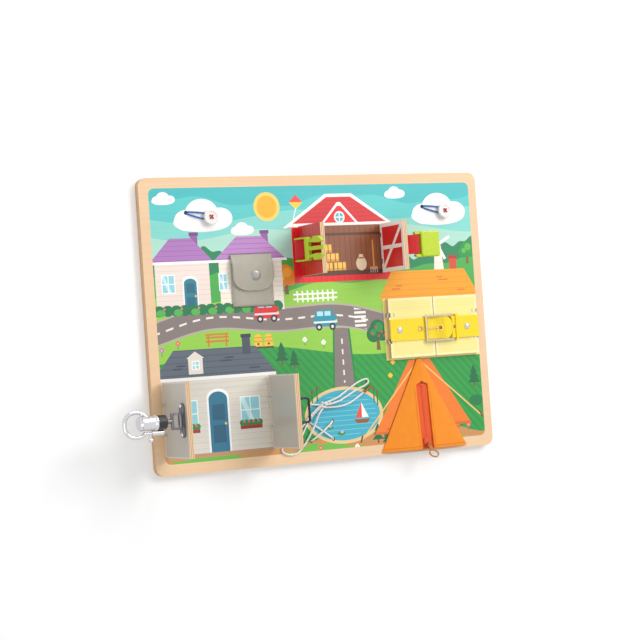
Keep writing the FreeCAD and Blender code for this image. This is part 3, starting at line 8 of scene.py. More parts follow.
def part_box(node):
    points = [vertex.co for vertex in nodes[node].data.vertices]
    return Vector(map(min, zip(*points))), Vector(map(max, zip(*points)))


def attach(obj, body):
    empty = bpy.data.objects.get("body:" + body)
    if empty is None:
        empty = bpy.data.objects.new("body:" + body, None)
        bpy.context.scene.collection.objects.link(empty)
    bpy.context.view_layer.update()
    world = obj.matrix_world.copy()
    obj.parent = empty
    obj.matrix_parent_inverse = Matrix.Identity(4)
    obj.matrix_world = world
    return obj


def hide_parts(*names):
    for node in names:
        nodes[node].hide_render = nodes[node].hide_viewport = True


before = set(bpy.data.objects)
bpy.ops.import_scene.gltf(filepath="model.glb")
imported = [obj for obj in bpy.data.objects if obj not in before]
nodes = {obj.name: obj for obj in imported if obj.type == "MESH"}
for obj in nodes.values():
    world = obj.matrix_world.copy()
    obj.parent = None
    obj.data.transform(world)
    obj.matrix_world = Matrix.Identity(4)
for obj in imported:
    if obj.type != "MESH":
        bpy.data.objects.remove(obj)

bl_info = {"name": "Wooden busy board", "version": (1, 0, 0), "blender": (4, 5, 0),
    "location": "3D View > Sidebar > Busy board",
    "description": "Dresses the busy board: printed plywood, doors, cloth, lace, buckles and clasp",
    "category": "Object"}

# The board's frame: metres, X right, Y towards the picture's top, Z out of the printed face.
# FOOT is the board's lower edge, so that heights can be counted from it.
MM = 0.001
LOW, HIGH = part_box("front_board")
FOOT = LOW.y
FACE = HIGH.z


def spot(x, y, z):
    """A place in millimetres, its height counted from the board's lower edge."""
    return Vector((x * MM, FOOT + y * MM, z * MM))


def paint(red, green, blue):
    """A printed colour from 0 to 255, as the linear colour a shader takes."""
    def linear(part):
        part = part / 255
        return part / 12.92 if part <= 0.04045 else ((part + 0.055) / 1.055) ** 2.4
    return (linear(red), linear(green), linear(blue), 1.0)


def shade(name, red, green, blue, meaning):
    return bpy.props.FloatVectorProperty(name=name, description=meaning, subtype="COLOR", size=4, min=0.0,
        max=1.0, default=paint(red, green, blue))


class BoardColours(bpy.types.PropertyGroup):
    wood: shade("Wood", 240, 203, 162, "Face of the birch plywood")
    glue: shade("Ply edge", 196, 154, 108, "Dark plies in the edges")
    barn: shade("Barn doors", 222, 24, 32, "Gloss red of the barn doors")
    house: shade("House doors", 192, 186, 174, "Pale paint of the house doors")
    shed: shade("Belted doors", 250, 236, 150, "Pale yellow of the belted doors")
    lime: shade("Buckle", 190, 214, 32, "Plastic of the side-release buckle")
    webbing: shade("Webbing", 214, 32, 36, "Red webbing")
    belt: shade("Belt", 252, 220, 8, "Yellow belt")
    pouch: shade("Pouch", 178, 173, 158, "Grey pouch cloth")
    tent: shade("Tent", 250, 146, 26, "Orange tent cloth")
    zipper: shade("Zip", 238, 92, 36, "Zip tapes and teeth")
    elastic: shade("Elastic", 38, 108, 190, "Blue elastic cord")
    lace: shade("Lace", 242, 240, 234, "White lace")
    thread: shade("Thread", 208, 24, 38, "Red sewing thread")


class BoardSizes(bpy.types.PropertyGroup):
    lace_thick: bpy.props.FloatProperty(name="Lace", description="Diameter of the lace", default=0.002,
        min=0.001, unit="LENGTH")
    elastic_thick: bpy.props.FloatProperty(name="Elastic", description="Diameter of the elastic",
        default=0.0016, min=0.001, unit="LENGTH")
    stitch_long: bpy.props.FloatProperty(name="Stitch", description="Length of one stitch",
        default=0.0022, min=0.0005, unit="LENGTH")
    floor_size: bpy.props.FloatProperty(name="Floor", description="Width of the pale floor", default=12.0,
        min=1.0, unit="LENGTH")


def colours():
    return bpy.context.scene.busy_board_colours


def sizes():
    return bpy.context.scene.busy_board_sizes


# Nodes: short ways to add them

def put(tree, kind, inputs=None, **settings):
    made = tree.nodes.new(kind)
    for key, value in settings.items():
        setattr(made, key, value)
    for key, value in (inputs or {}).items():
        if isinstance(value, bpy.types.NodeSocket):
            tree.links.new(value, made.inputs[key])
        else:
            made.inputs[key].default_value = value
    return made


def calc(tree, operation, *values):
    return put(tree, "ShaderNodeMath", dict(enumerate(values)), operation=operation).outputs[0]


def vector(tree, operation, *values):
    made = put(tree, "ShaderNodeVectorMath", dict(enumerate(values)), operation=operation)
    return made.outputs["Value" if operation in ("LENGTH", "DOT_PRODUCT") else "Vector"]


def mix(tree, factor, under, over):
    made = put(tree, "ShaderNodeMix", {0: factor, 6: under, 7: over}, data_type="RGBA")
    return made.outputs[2]


def apart(tree, point):
    return put(tree, "ShaderNodeSeparateXYZ", {0: point}).outputs


def together(tree, x, y, z):
    return put(tree, "ShaderNodeCombineXYZ", {0: x, 1: y, 2: z}).outputs[0]


def scaled(tree, colour, level):
    """A colour or a direction times a number."""
    return put(tree, "ShaderNodeVectorMath", {0: colour, "Scale": level}, operation="SCALE").outputs[0]


def in_millimetres(tree):
    return scaled(tree, put(tree, "ShaderNodeTexCoord").outputs["Object"], 1000.0)


# Effects that several finishes share, each built once as a node group

GROUPS = {}


def group_tree(name, inputs, outputs):
    tree = bpy.data.node_groups.new(name, "ShaderNodeTree")
    for label, kind, value in inputs:
        socket = tree.interface.new_socket(label, in_out="INPUT", socket_type=kind)
        socket.default_value = value
    for label, kind in outputs:
        tree.interface.new_socket(label, in_out="OUTPUT", socket_type=kind)
    return tree, tree.nodes.new("NodeGroupInput").outputs, tree.nodes.new("NodeGroupOutput").inputs


def use(tree, name, **inputs):
    if name not in GROUPS:
        GROUPS[name] = BUILDERS[name]()
    values = {key.replace("_", " "): value for key, value in inputs.items()}
    return put(tree, "ShaderNodeGroup", values, node_tree=GROUPS[name]).outputs


FLOAT, VECTOR, COLOUR = "NodeSocketFloat", "NodeSocketVector", "NodeSocketColor"


def disc_group():
    """1 inside an ellipse of the given half sizes."""
    tree, given, out = group_tree("Disc", [("Point", VECTOR, (0, 0, 0)), ("Middle", VECTOR, (0, 0, 0)),
        ("Half", VECTOR, (10, 10, 1))], [("Mask", FLOAT)])
    away = vector(tree, "DIVIDE", vector(tree, "SUBTRACT", given["Point"], given["Middle"]),
        given["Half"])
    tree.links.new(calc(tree, "LESS_THAN", vector(tree, "LENGTH", away), 1.0), out["Mask"])
    return tree


def panel_group():
    """1 inside a rectangle, which may be turned."""
    tree, given, out = group_tree("Panel", [("Point", VECTOR, (0, 0, 0)), ("Middle", VECTOR, (0, 0, 0)),
        ("Half", VECTOR, (10, 10, 1)), ("Turn", FLOAT, 0.0)], [("Mask", FLOAT)])
    away = vector(tree, "SUBTRACT", given["Point"], given["Middle"])
    turned = put(tree, "ShaderNodeVectorRotate", {"Vector": away, "Angle": given["Turn"]},
        rotation_type="Z_AXIS").outputs[0]
    past = vector(tree, "SUBTRACT", vector(tree, "ABSOLUTE", turned), given["Half"])
    outside = vector(tree, "LENGTH", vector(tree, "MAXIMUM", past, (0, 0, 0)))
    tree.links.new(calc(tree, "LESS_THAN", outside, 0.001), out["Mask"])
    return tree


def gable_group():
    """1 inside a shape that narrows evenly from its foot to its top."""
    tree, given, out = group_tree("Gable", [("Point", VECTOR, (0, 0, 0)), ("Foot", VECTOR, (0, 0, 0)),
        ("Half", FLOAT, 10.0), ("Top Half", FLOAT, 0.0), ("Rise", FLOAT, 10.0)], [("Mask", FLOAT)])
    away = vector(tree, "SUBTRACT", given["Point"], given["Foot"])
    share = calc(tree, "DIVIDE", vector(tree, "DOT_PRODUCT", away, (0, 1, 0)), given["Rise"])
    narrowing = calc(tree, "SUBTRACT", given["Top Half"], given["Half"])
    half = calc(tree, "MULTIPLY_ADD", share, narrowing, given["Half"])
    aside = calc(tree, "ABSOLUTE", vector(tree, "DOT_PRODUCT", away, (1, 0, 0)))
    within = calc(tree, "LESS_THAN", aside, half)
    above = calc(tree, "GREATER_THAN", share, 0.0)
    below = calc(tree, "LESS_THAN", share, 1.0)
    tree.links.new(calc(tree, "MULTIPLY", within, calc(tree, "MULTIPLY", above, below)), out["Mask"])
    return tree


def grain_group():
    """Birch grain: a value round 1 for the colour and a height for the bump."""
    tree, given, out = group_tree("Birch grain", [("Point", VECTOR, (0, 0, 0)), ("Strength", FLOAT, 0.1)],
        [("Value", FLOAT), ("Height", FLOAT)])
    long_way = vector(tree, "MULTIPLY", given["Point"], (0.012, 0.42, 0.42))
    streaks = put(tree, "ShaderNodeTexNoise", {"Vector": long_way, "Scale": 1.0, "Detail": 5.0,
        "Roughness": 0.62, "Distortion": 0.35})
    wide = vector(tree, "MULTIPLY", given["Point"], (0.006, 0.05, 0.05))
    clouds = put(tree, "ShaderNodeTexNoise", {"Vector": wide, "Scale": 1.0, "Detail": 2.0})
    both = calc(tree, "MULTIPLY_ADD", clouds.outputs[0], 0.6, streaks.outputs[0])
    swing = calc(tree, "MULTIPLY", calc(tree, "SUBTRACT", both, 0.8), given["Strength"])
    tree.links.new(calc(tree, "ADD", swing, 1.0), out["Value"])
    tree.links.new(streaks.outputs[0], out["Height"])
    return tree


def plies_group():
    """1 in the dark plies of a board whose thickness runs along one direction."""
    tree, given, out = group_tree("Plies", [("Depth", FLOAT, 0.0), ("Pitch", FLOAT, 1.6),
        ("Point", VECTOR, (0, 0, 0))], [("Mask", FLOAT)])
    wave = put(tree, "ShaderNodeTexNoise", {"Vector": given["Point"], "Scale": 0.08, "Detail": 2.0})
    depth = calc(tree, "MULTIPLY_ADD", wave.outputs[0], 0.35, given["Depth"])
    share = calc(tree, "PINGPONG", depth, given["Pitch"])
    edge = put(tree, "ShaderNodeMapRange", {"Value": calc(tree, "DIVIDE", share, given["Pitch"]),
        "From Min": 0.42, "From Max": 0.58})
    tree.links.new(edge.outputs[0], out["Mask"])
    return tree


def weave_group():
    """Plain weave over two directions in millimetres, as a height from 0 to 1."""
    tree, given, out = group_tree("Weave", [("Across", FLOAT, 0.0), ("Along", FLOAT, 0.0),
        ("Pitch", FLOAT, 0.5)], [("Height", FLOAT)])
    turns = []
    for way in ("Across", "Along"):
        turns.append(calc(tree, "MULTIPLY", calc(tree, "DIVIDE", given[way], given["Pitch"]), math.pi))
    warp = calc(tree, "ABSOLUTE", calc(tree, "SINE", turns[0]))
    weft = calc(tree, "ABSOLUTE", calc(tree, "SINE", turns[1]))
    cells = calc(tree, "ADD",
        calc(tree, "FLOOR", calc(tree, "DIVIDE", turns[0], math.pi)),
        calc(tree, "FLOOR", calc(tree, "DIVIDE", turns[1], math.pi)))
    odd = calc(tree, "FLOORED_MODULO", cells, 2.0)
    height = put(tree, "ShaderNodeMix", {0: odd, 2: warp, 3: weft}).outputs[0]
    tree.links.new(height, out["Height"])
    return tree


def wear_group():
    """Uneven surface: small dents, dust and fingermarks as a value from 0 to 1."""
    tree, given, out = group_tree("Handling", [("Point", VECTOR, (0, 0, 0)), ("Scale", FLOAT, 0.2)],
        [("Value", FLOAT), ("Height", FLOAT)])
    broad = put(tree, "ShaderNodeTexNoise", {"Vector": given["Point"], "Scale": given["Scale"],
        "Detail": 6.0, "Roughness": 0.6})
    fine = put(tree, "ShaderNodeTexNoise", {"Vector": given["Point"],
        "Scale": calc(tree, "MULTIPLY", given["Scale"], 9.0), "Detail": 3.0})
    tree.links.new(broad.outputs[0], out["Value"])
    tree.links.new(fine.outputs[0], out["Height"])
    return tree


BUILDERS = {"disc": disc_group, "panel": panel_group, "gable": gable_group, "grain": grain_group,
    "plies": plies_group, "weave": weave_group, "wear": wear_group}


class Finish:
    """One material, with its surface shader and the piece's own coordinates in millimetres."""

    def __init__(self, name, roughness=0.5, metallic=0.0, coat=0.0):
        self.material = bpy.data.materials.new(name)
        self.material.use_nodes = True
        self.tree = self.material.node_tree
        self.surface = self.tree.nodes["Principled BSDF"]
        self.surface.inputs["Roughness"].default_value = roughness
        self.surface.inputs["Metallic"].default_value = metallic
        self.surface.inputs["Coat Weight"].default_value = coat
        self.surface.inputs["Coat Roughness"].default_value = 0.12
        self.point = in_millimetres(self.tree)

    def set(self, socket, value):
        if isinstance(value, bpy.types.NodeSocket):
            self.tree.links.new(value, self.surface.inputs[socket])
        else:
            self.surface.inputs[socket].default_value = value

    def bump(self, height, strength, distance=0.0003):
        made = put(self.tree, "ShaderNodeBump", {"Height": height, "Strength": strength,
            "Distance": distance})
        self.set("Normal", made.outputs[0])

    def tinted(self, colour, value, low=0.9, high=1.06):
        """The colour made a little darker and lighter over the surface by a value from 0 to 1."""
        level = put(self.tree, "ShaderNodeMapRange", {"Value": value, "From Min": 0.3, "From Max": 0.7,
            "To Min": low, "To Max": high}).outputs[0]
        base = put(self.tree, "ShaderNodeRGB").outputs[0]
        base.default_value = tuple(colour)
        return scaled(self.tree, base, level)


def plain(name, colour, roughness=0.45, metallic=0.0, coat=0.0, low=0.94, high=1.04, scale=0.25,
        bump=0.08):
    """Moulded, cast or painted stuff with slight unevenness."""
    finish = Finish(name, roughness, metallic, coat)
    wear = use(finish.tree, "wear", Point=finish.point, Scale=scale)
    finish.set("Base Color", finish.tinted(colour, wear["Value"], low, high))
    rough = put(finish.tree, "ShaderNodeMapRange", {"Value": wear["Value"], "From Min": 0.3,
        "From Max": 0.7, "To Min": roughness * 0.8, "To Max": min(1, roughness * 1.25)})
    finish.set("Roughness", rough.outputs[0])
    finish.bump(wear["Height"], bump, 0.00015)
    return finish.material


def wear_on(node, *materials):
    """Gives a carried-over node its finish."""
    mesh = nodes[node].data
    mesh.materials.clear()
    for material in materials:
        mesh.materials.append(material)


# Printed picture: a village of plain shapes, painted over the board's front

class Picture:
    """Lays flat shapes over each other, in millimetres from the board's middle and lower edge."""

    def __init__(self, tree, point, ground):
        self.tree = tree
        self.point = point
        self.colour = ground
        self.across, self.up = apart(tree, point)[0], apart(tree, point)[1]

    def lay(self, colour, *masks):
        joined = masks[0]
        for mask in masks[1:]:
            joined = calc(self.tree, "MAXIMUM", joined, mask)
        over = paint(*colour) if isinstance(colour, tuple) else colour
        self.colour = mix(self.tree, joined, self.colour, over)

    def disc(self, x, y, wide, tall=None):
        return use(self.tree, "disc", Point=self.point, Middle=(x, y, 0),
            Half=(wide, tall or wide, 1e6))["Mask"]

    def panel(self, x, y, wide, tall, turn=0.0):
        return use(self.tree, "panel", Point=self.point, Middle=(x, y, 0), Half=(wide, tall, 1),
            Turn=math.radians(-turn))["Mask"]

    def gable(self, x, y, half, rise, top=0.0):
        return use(self.tree, "gable", Point=self.point, Foot=(x, y, 0), Half=half, Top_Half=top,
            Rise=rise)["Mask"]

    def wave(self, level, *swells):
        """The height of a rolling line: each swell is its height, length and start."""
        line = level
        for tall, long, start in swells:
            turn = calc(self.tree, "MULTIPLY_ADD", self.across, 2 * math.pi / long, start)
            line = calc(self.tree, "MULTIPLY_ADD", calc(self.tree, "SINE", turn), tall, line)
        return line

    def below(self, line):
        return calc(self.tree, "LESS_THAN", self.up, line)

    def band(self, line, half):
        away = calc(self.tree, "ABSOLUTE", calc(self.tree, "SUBTRACT", self.up, line))
        return calc(self.tree, "LESS_THAN", away, half)

    def both(self, first, second):
        return calc(self.tree, "MULTIPLY", first, second)

    def dashes(self, pitch, share, along=None):
        step = calc(self.tree, "FLOORED_MODULO", self.across if along is None else along, pitch)
        return calc(self.tree, "LESS_THAN", step, pitch * share)


def cloud(art, x, y, size):
    art.lay((214, 238, 238), art.disc(x, y - 1.5 * size, 21 * size, 6.5 * size))
    art.lay((255, 251, 248),
        art.disc(x - 11 * size, y, 9 * size, 7 * size),
        art.disc(x, y + 4 * size, 12 * size, 10 * size),
        art.disc(x + 13 * size, y + size, 9 * size, 7 * size),
        art.disc(x, y - 2 * size, 20 * size, 5.5 * size))


def pine(art, x, y, size, leaf=(22, 120, 72)):
    art.lay((126, 84, 52), art.panel(x, y + 2 * size, 1.3 * size, 3 * size))
    tiers = [art.gable(x, y + (4 + 6 * i) * size, (9 - 2 * i) * size, 10 * size) for i in range(3)]
    art.lay(leaf, *tiers)


def round_tree(art, x, y, size, leaf=(36, 148, 66), light=(92, 186, 70)):
    art.lay((134, 88, 54), art.gable(x, y, 2.4 * size, 14 * size, 1.4 * size))
    art.lay(leaf, art.disc(x - 5 * size, y + 16 * size, 8 * size),
        art.disc(x + 5 * size, y + 17 * size, 8 * size), art.disc(x, y + 22 * size, 9 * size))
    art.lay(light, art.disc(x + 2 * size, y + 23 * size, 5 * size),
        art.disc(x - 5 * size, y + 18 * size, 3.4 * size))


def window(art, x, y, wide, tall, frame_colour=(255, 255, 255), glass=(150, 216, 226)):
    art.lay(frame_colour, art.panel(x, y, wide, tall))
    art.lay(glass, art.panel(x, y, wide - 1.1, tall - 1.1))
    art.lay((206, 240, 242), art.both(art.panel(x, y, wide - 1.1, tall - 1.1),
        art.panel(x - wide * 0.3, y, wide * 0.22, tall * 2, 24)))
    art.lay(frame_colour, art.panel(x, y, 0.5, tall), art.panel(x, y, wide, 0.5))


def flower(art, x, y, petals):
    art.lay((30, 130, 62), art.panel(x, y - 3, 0.4, 3))
    art.lay(petals, art.disc(x - 1.5, y, 1.4), art.disc(x + 1.5, y, 1.4), art.disc(x, y + 1.5, 1.4),
        art.disc(x, y - 1.5, 1.4))
    art.lay((252, 214, 60), art.disc(x, y, 0.9))


def paint_sky(art):
    art.lay((88, 202, 200), art.below(art.wave(274, (5, 190, 0.4), (2, 70, 1.2))))
    art.lay((132, 216, 206), art.below(art.wave(258, (6, 230, 2.1))))
    art.lay((176, 226, 208), art.below(art.wave(240, (5, 170, 4.0))))
    art.lay((252, 214, 96), art.disc(-58, 268, 15))
    art.lay((246, 182, 30), art.disc(-58, 268, 11.5))
    for x, y, size in ((-132, 256, 1.55), (149, 256, 1.6), (-88, 244, 0.62), (96, 278, 0.6),
            (-174, 277, 0.6)):
        cloud(art, x, y, size)
    # a kite with its tail
    kite = art.panel(-24, 272, 5.6, 5.6, 45)
    art.lay((236, 74, 60), kite)
    art.lay((250, 206, 60), art.both(kite, art.gable(-24, 264, 8, 8, 8)))
    art.lay((255, 255, 255), art.panel(-26, 260, 0.5, 6, -18), art.panel(-24, 250, 0.5, 5, 24))


def paint_hills(art):
    art.lay((24, 132, 84), art.below(art.wave(218, (8, 150, 0.3), (3.5, 47, 1.0), (1.6, 17, 0.2))))
    art.lay((70, 172, 74), art.below(art.wave(206, (8, 260, 2.2), (2, 60, 0.5))))
    art.lay((150, 208, 72), art.below(art.wave(180, (7, 320, 0.9), (2, 84, 2.0))))
    lower = art.below(art.wave(116, (8, 300, 3.4)))
    stripes = art.dashes(9, 0.5, calc(art.tree, "MULTIPLY_ADD", art.up, 0.9, art.across))
    art.lay((40, 158, 66), lower)
    art.lay((30, 146, 60), art.both(lower, stripes))
    art.lay((206, 146, 88), art.below(art.wave(26, (9, 290, 0.2), (2, 70, 0.5))))
    art.lay((112, 190, 70), art.below(art.wave(14, (5, 130, 2.0), (1.4, 31, 0.5))))
    fleck = put(art.tree, "ShaderNodeTexNoise", {"Vector": art.point, "Scale": 0.9, "Detail": 2.0})
    specks = calc(art.tree, "GREATER_THAN", fleck.outputs[0], 0.66)
    grass = calc(art.tree, "MULTIPLY", specks, art.below(art.wave(176, (7, 320, 0.9), (2, 84, 2.0))))
    art.lay((18, 124, 56), calc(art.tree, "MULTIPLY", grass, 0.35))


def paint_road(art):
    line = art.wave(146, (9, 420, 2.7), (4, 160, 0.6))
    art.lay((28, 132, 58), art.both(art.gable(20, 76, 14, 62, 10), art.below(140)))
    art.lay((134, 122, 118), art.gable(20, 76, 12, 62, 8))
    art.lay((250, 240, 226), art.both(art.panel(20, 106, 0.9, 26), art.dashes(11, 0.5, art.up)))
    art.lay((186, 176, 162), art.band(line, 13))
    art.lay((134, 122, 118), art.band(line, 11))
    art.lay((250, 240, 226), art.both(art.band(line, 1), art.dashes(15, 0.55)))
    # a striped crossing
    crossing = art.both(art.band(line, 10), art.panel(44, 150, 7, 30))
    art.lay((250, 246, 238), art.both(crossing, art.dashes(4.6, 0.55, art.up)))


def paint_hall(art):
    """Red hall whose doors are the barn doors, with a store room inside."""
    art.lay((255, 250, 246), art.gable(27, 245, 68, 35, 16))
    art.lay((214, 28, 36), art.gable(27, 245, 63, 31.6, 14.4))
    art.lay((184, 20, 30), art.both(art.gable(27, 245, 63, 31.6, 14.4), art.dashes(4.4, 0.12, art.up)))
    art.lay((236, 28, 36), art.panel(27, 217, 58, 30))
    art.lay((196, 22, 30), art.both(art.panel(27, 217, 58, 30), art.dashes(7, 0.1)))
    art.lay((255, 250, 244), art.gable(27, 247, 24, 24, 2))
    art.lay((236, 28, 36), art.gable(27, 248, 20, 19, 2))
    art.lay((255, 250, 244), art.disc(27, 255, 6.4), art.panel(27, 247.5, 62, 1.8))
    art.lay((92, 188, 206), art.disc(27, 255, 4.8))
    art.lay((255, 250, 244), art.panel(27, 255, 0.6, 5), art.panel(27, 255, 5, 0.6))
    room = art.panel(27, 220, 48.4, 26.4)
    art.lay((112, 66, 40), room)
    art.lay((142, 84, 52), art.both(room, art.dashes(6.4, 0.86)))
    art.lay((88, 50, 32), art.panel(27, 237, 48.4, 1.4), art.panel(27, 196, 48.4, 2.6))
    for x, y in ((8, 203), (24, 203), (16, 212.6), (8, 222.2)):
        art.lay((222, 170, 58), art.panel(x, y, 7.2, 4.4))
        art.lay((252, 208, 96), art.panel(x, y + 1, 6.6, 2.8))
        art.lay((176, 66, 44), art.panel(x - 3, y, 0.5, 4.4), art.panel(x + 3, y, 0.5, 4.4))
    art.lay((236, 218, 180), art.disc(50, 205, 6.4, 7.4), art.gable(50, 209, 4, 6, 2))
    art.lay((176, 66, 44), art.panel(50, 211, 3, 0.7))
    art.lay((226, 150, 70), art.panel(65, 214, 1, 16), art.panel(65, 200, 4.6, 1.2))
    art.lay((190, 190, 196), *[art.panel(61 + 2.6 * i, 197.4, 0.4, 2.4) for i in range(4)])


def paint_homes(art):
    """Two small homes at the left, the pouch in front of the second."""
    homes = ((-158, (246, 228, 218), (178, 122, 190), 30), (-81, (250, 240, 226), (190, 136, 200), 36))
    for x, wall, roof, half in homes:
        art.lay((150, 92, 160), art.panel(x + half * 0.5, 233, 4, 10))
        art.lay((120, 68, 132), art.panel(x + half * 0.5, 242, 5.2, 1.8))
        art.lay(wall, art.panel(x, 188, half, 27))
        boards = art.both(art.panel(x, 188, half, 27), art.dashes(5, 0.08, art.up))
        art.lay((226, 206, 196), boards)
        slope = art.gable(x, 213, half + 6, 25, half * 0.4)
        art.lay(roof, slope)
        art.lay((160, 104, 174), art.both(slope, art.dashes(5, 0.14, art.up)))
        art.lay((255, 255, 255), art.gable(x, 212, half + 6.6, 2.6, half + 6))
    window(art, -174, 192, 7.6, 9.6)
    art.lay((255, 255, 255), art.panel(-150, 178, 8.4, 17), art.disc(-150, 194, 8.4, 6))
    art.lay((40, 128, 150), art.panel(-150, 177, 7, 16), art.disc(-150, 192, 7, 5))
    art.lay((30, 104, 126), art.panel(-150, 172, 4.6, 6), art.panel(-150, 187, 4.6, 5))
    art.lay((250, 214, 96), art.disc(-144.6, 179, 1.1))
    window(art, -113, 192, 5.1, 9)
    hedge = [art.disc(-186 + 9.5 * i, 165, 6.4, 5.6) for i in range(15)]
    art.lay((14, 118, 70), *hedge)
    art.lay((84, 178, 78), *[art.disc(-184 + 19 * i, 163, 5, 3.6) for i in range(7)])
    art.lay((250, 120, 130), *[art.disc(-180 + 19 * i, 167, 1.2) for i in range(7)])


def paint_cottage(art):
    """Grey-roofed cottage whose front wall lies behind the house doors."""
    slope = art.gable(-127.75, 95, 70, 30, 46)
    art.lay((92, 102, 114), slope)
    art.lay((74, 84, 96), art.both(slope, art.dashes(6.2, 0.14, art.up)))
    art.lay((58, 68, 80), art.panel(-170, 106, 5, 0.8), art.panel(-166, 109, 5, 0.8),
        art.panel(-116, 112, 6, 0.8), art.panel(-112, 115, 5, 0.8), art.panel(-84, 103, 6, 0.8))
    art.lay((236, 228, 214), art.panel(-150, 108, 8, 8), art.gable(-150, 116, 10, 7))
    window(art, -150, 109, 4.4, 4.6)
    art.lay((70, 78, 92), art.panel(-92, 127, 4.6, 10))
    art.lay((48, 56, 68), art.panel(-92, 136, 5.8, 1.8))
    art.lay((226, 220, 208), art.panel(-127.75, 56, 64, 40))
    boards = art.both(art.panel(-127.75, 56, 64, 40), art.dashes(6, 0.07, art.up))
    art.lay((206, 199, 186), boards)
    art.lay((250, 248, 244), art.panel(-127.75, 95.5, 68, 1.6))
    art.lay((255, 255, 255), art.panel(-128, 46, 12.4, 29), art.disc(-128, 75, 12.4, 9))
    art.lay((40, 116, 146), art.panel(-128, 45, 10.4, 28), art.disc(-128, 73, 10.4, 8))
    art.lay((28, 92, 120), art.panel(-128, 38, 7, 9), art.panel(-128, 60, 7, 8))
    art.lay((246, 206, 84), art.disc(-120.6, 48, 1.3))
    for x in (-162, -92):
        window(art, x, 60, 11.4, 14)
        art.lay((166, 52, 48), art.panel(x, 43.4, 12.4, 2.8))
        art.lay((34, 140, 70), *[art.disc(x - 10 + 5 * i, 47, 3.1) for i in range(5)])
        art.lay((240, 92, 118), *[art.disc(x - 8 + 5.4 * i, 48, 1.4) for i in range(4)])
    art.lay((196, 150, 108), art.panel(-127.75, 17.4, 64, 2.2))


def paint_shed(art):
    """Sunny roof over the belted doors and a warm room behind them."""
    slope = art.gable(131.7, 166, 63, 29, 46)
    art.lay((214, 76, 36), art.panel(164, 199, 4.6, 9))
    art.lay((176, 54, 30), art.panel(164, 208, 5.8, 1.8))
    art.lay((246, 166, 26), slope)
    art.lay((236, 146, 22), art.both(slope, art.dashes(6, 0.12, art.up)))
    art.lay((226, 116, 26), art.panel(90, 176, 5, 0.7), art.panel(94, 179, 4, 0.7),
        art.panel(150, 184, 6, 0.7), art.panel(146, 187, 4, 0.7), art.panel(172, 172, 5, 0.7))
    art.lay((255, 230, 150), art.panel(131.7, 133, 59, 33))
    art.lay((244, 206, 110), art.both(art.panel(131.7, 133, 55, 31), art.dashes(8, 0.12)))
    art.lay((172, 116, 66), art.panel(131.7, 118, 50, 1.6), art.panel(131.7, 144, 50, 1.6))
    tones = ((226, 90, 70), (70, 160, 190), (120, 180, 84), (240, 150, 50), (150, 110, 176))
    for i, tone in enumerate(tones):
        art.lay(tone, art.panel(94 + 19 * i, 125.4, 5.6, 5.8), art.disc(94 + 19 * i, 150.6, 5))


def paint_pond(art):
    art.lay((236, 206, 146), art.disc(17, 46, 47, 30))
    art.lay((64, 176, 200), art.disc(17, 46, 43, 26.6))
    ripples = art.both(art.disc(17, 46, 39, 23), art.dashes(5, 0.18, art.up))
    art.lay((112, 202, 216), ripples)
    art.lay((255, 255, 255), art.gable(38, 42, 8, 16))
    art.lay((236, 84, 66), art.both(art.gable(38, 42, 8, 16), art.panel(33, 50, 5, 12)))
    art.lay((146, 90, 52), art.gable(38, 36, 6, 4.4, 10))
    for x, y in ((-20, 66), (-14, 69), (58, 60), (54, 64)):
        art.lay((18, 112, 56), art.panel(x, y, 0.7, 7))
        art.lay((124, 78, 44), art.disc(x, y + 7, 1.2, 2.6))
    for x, y in ((-2, 34), (12, 27)):
        art.lay((30, 150, 80), art.disc(x, y, 5, 2))
        art.lay((250, 170, 200), art.disc(x + 1, y + 1.4, 1.8, 1.3))


def paint_camp(art):
    """Canvas sides, ropes and their pegs beside the sewn tent front."""
    art.lay((244, 126, 34), art.gable(106, 22, 54, 77, 6), art.gable(120, 26, 54, 73, 6))
    art.lay((226, 104, 28), art.gable(106, 22, 54, 2.4, 52), art.gable(120, 26, 54, 2.4, 52))
    art.lay((252, 196, 116), art.panel(74, 58, 0.8, 54, -43), art.panel(150, 66, 0.8, 49, 49))
    art.lay((128, 74, 40), art.panel(36, 19, 1, 4, -20), art.panel(187, 35, 1, 4, 20))


def paint_van(art, x, y, body, trim):
    art.lay(body, art.panel(x, y + 6, 14, 5.6), art.gable(x - 1, y + 11, 12, 7, 9))
    art.lay((190, 232, 240), art.panel(x - 6, y + 14, 3.6, 2.4), art.panel(x + 3, y + 14, 3.6, 2.4))
    art.lay(trim, art.panel(x, y + 5, 14, 1))
    art.lay((44, 44, 50), art.disc(x - 8, y, 3.8), art.disc(x + 8, y, 3.8))
    art.lay((232, 232, 232), art.disc(x - 8, y, 1.7), art.disc(x + 8, y, 1.7))
    art.lay((252, 220, 90), art.disc(x + 13, y + 6, 1.2))


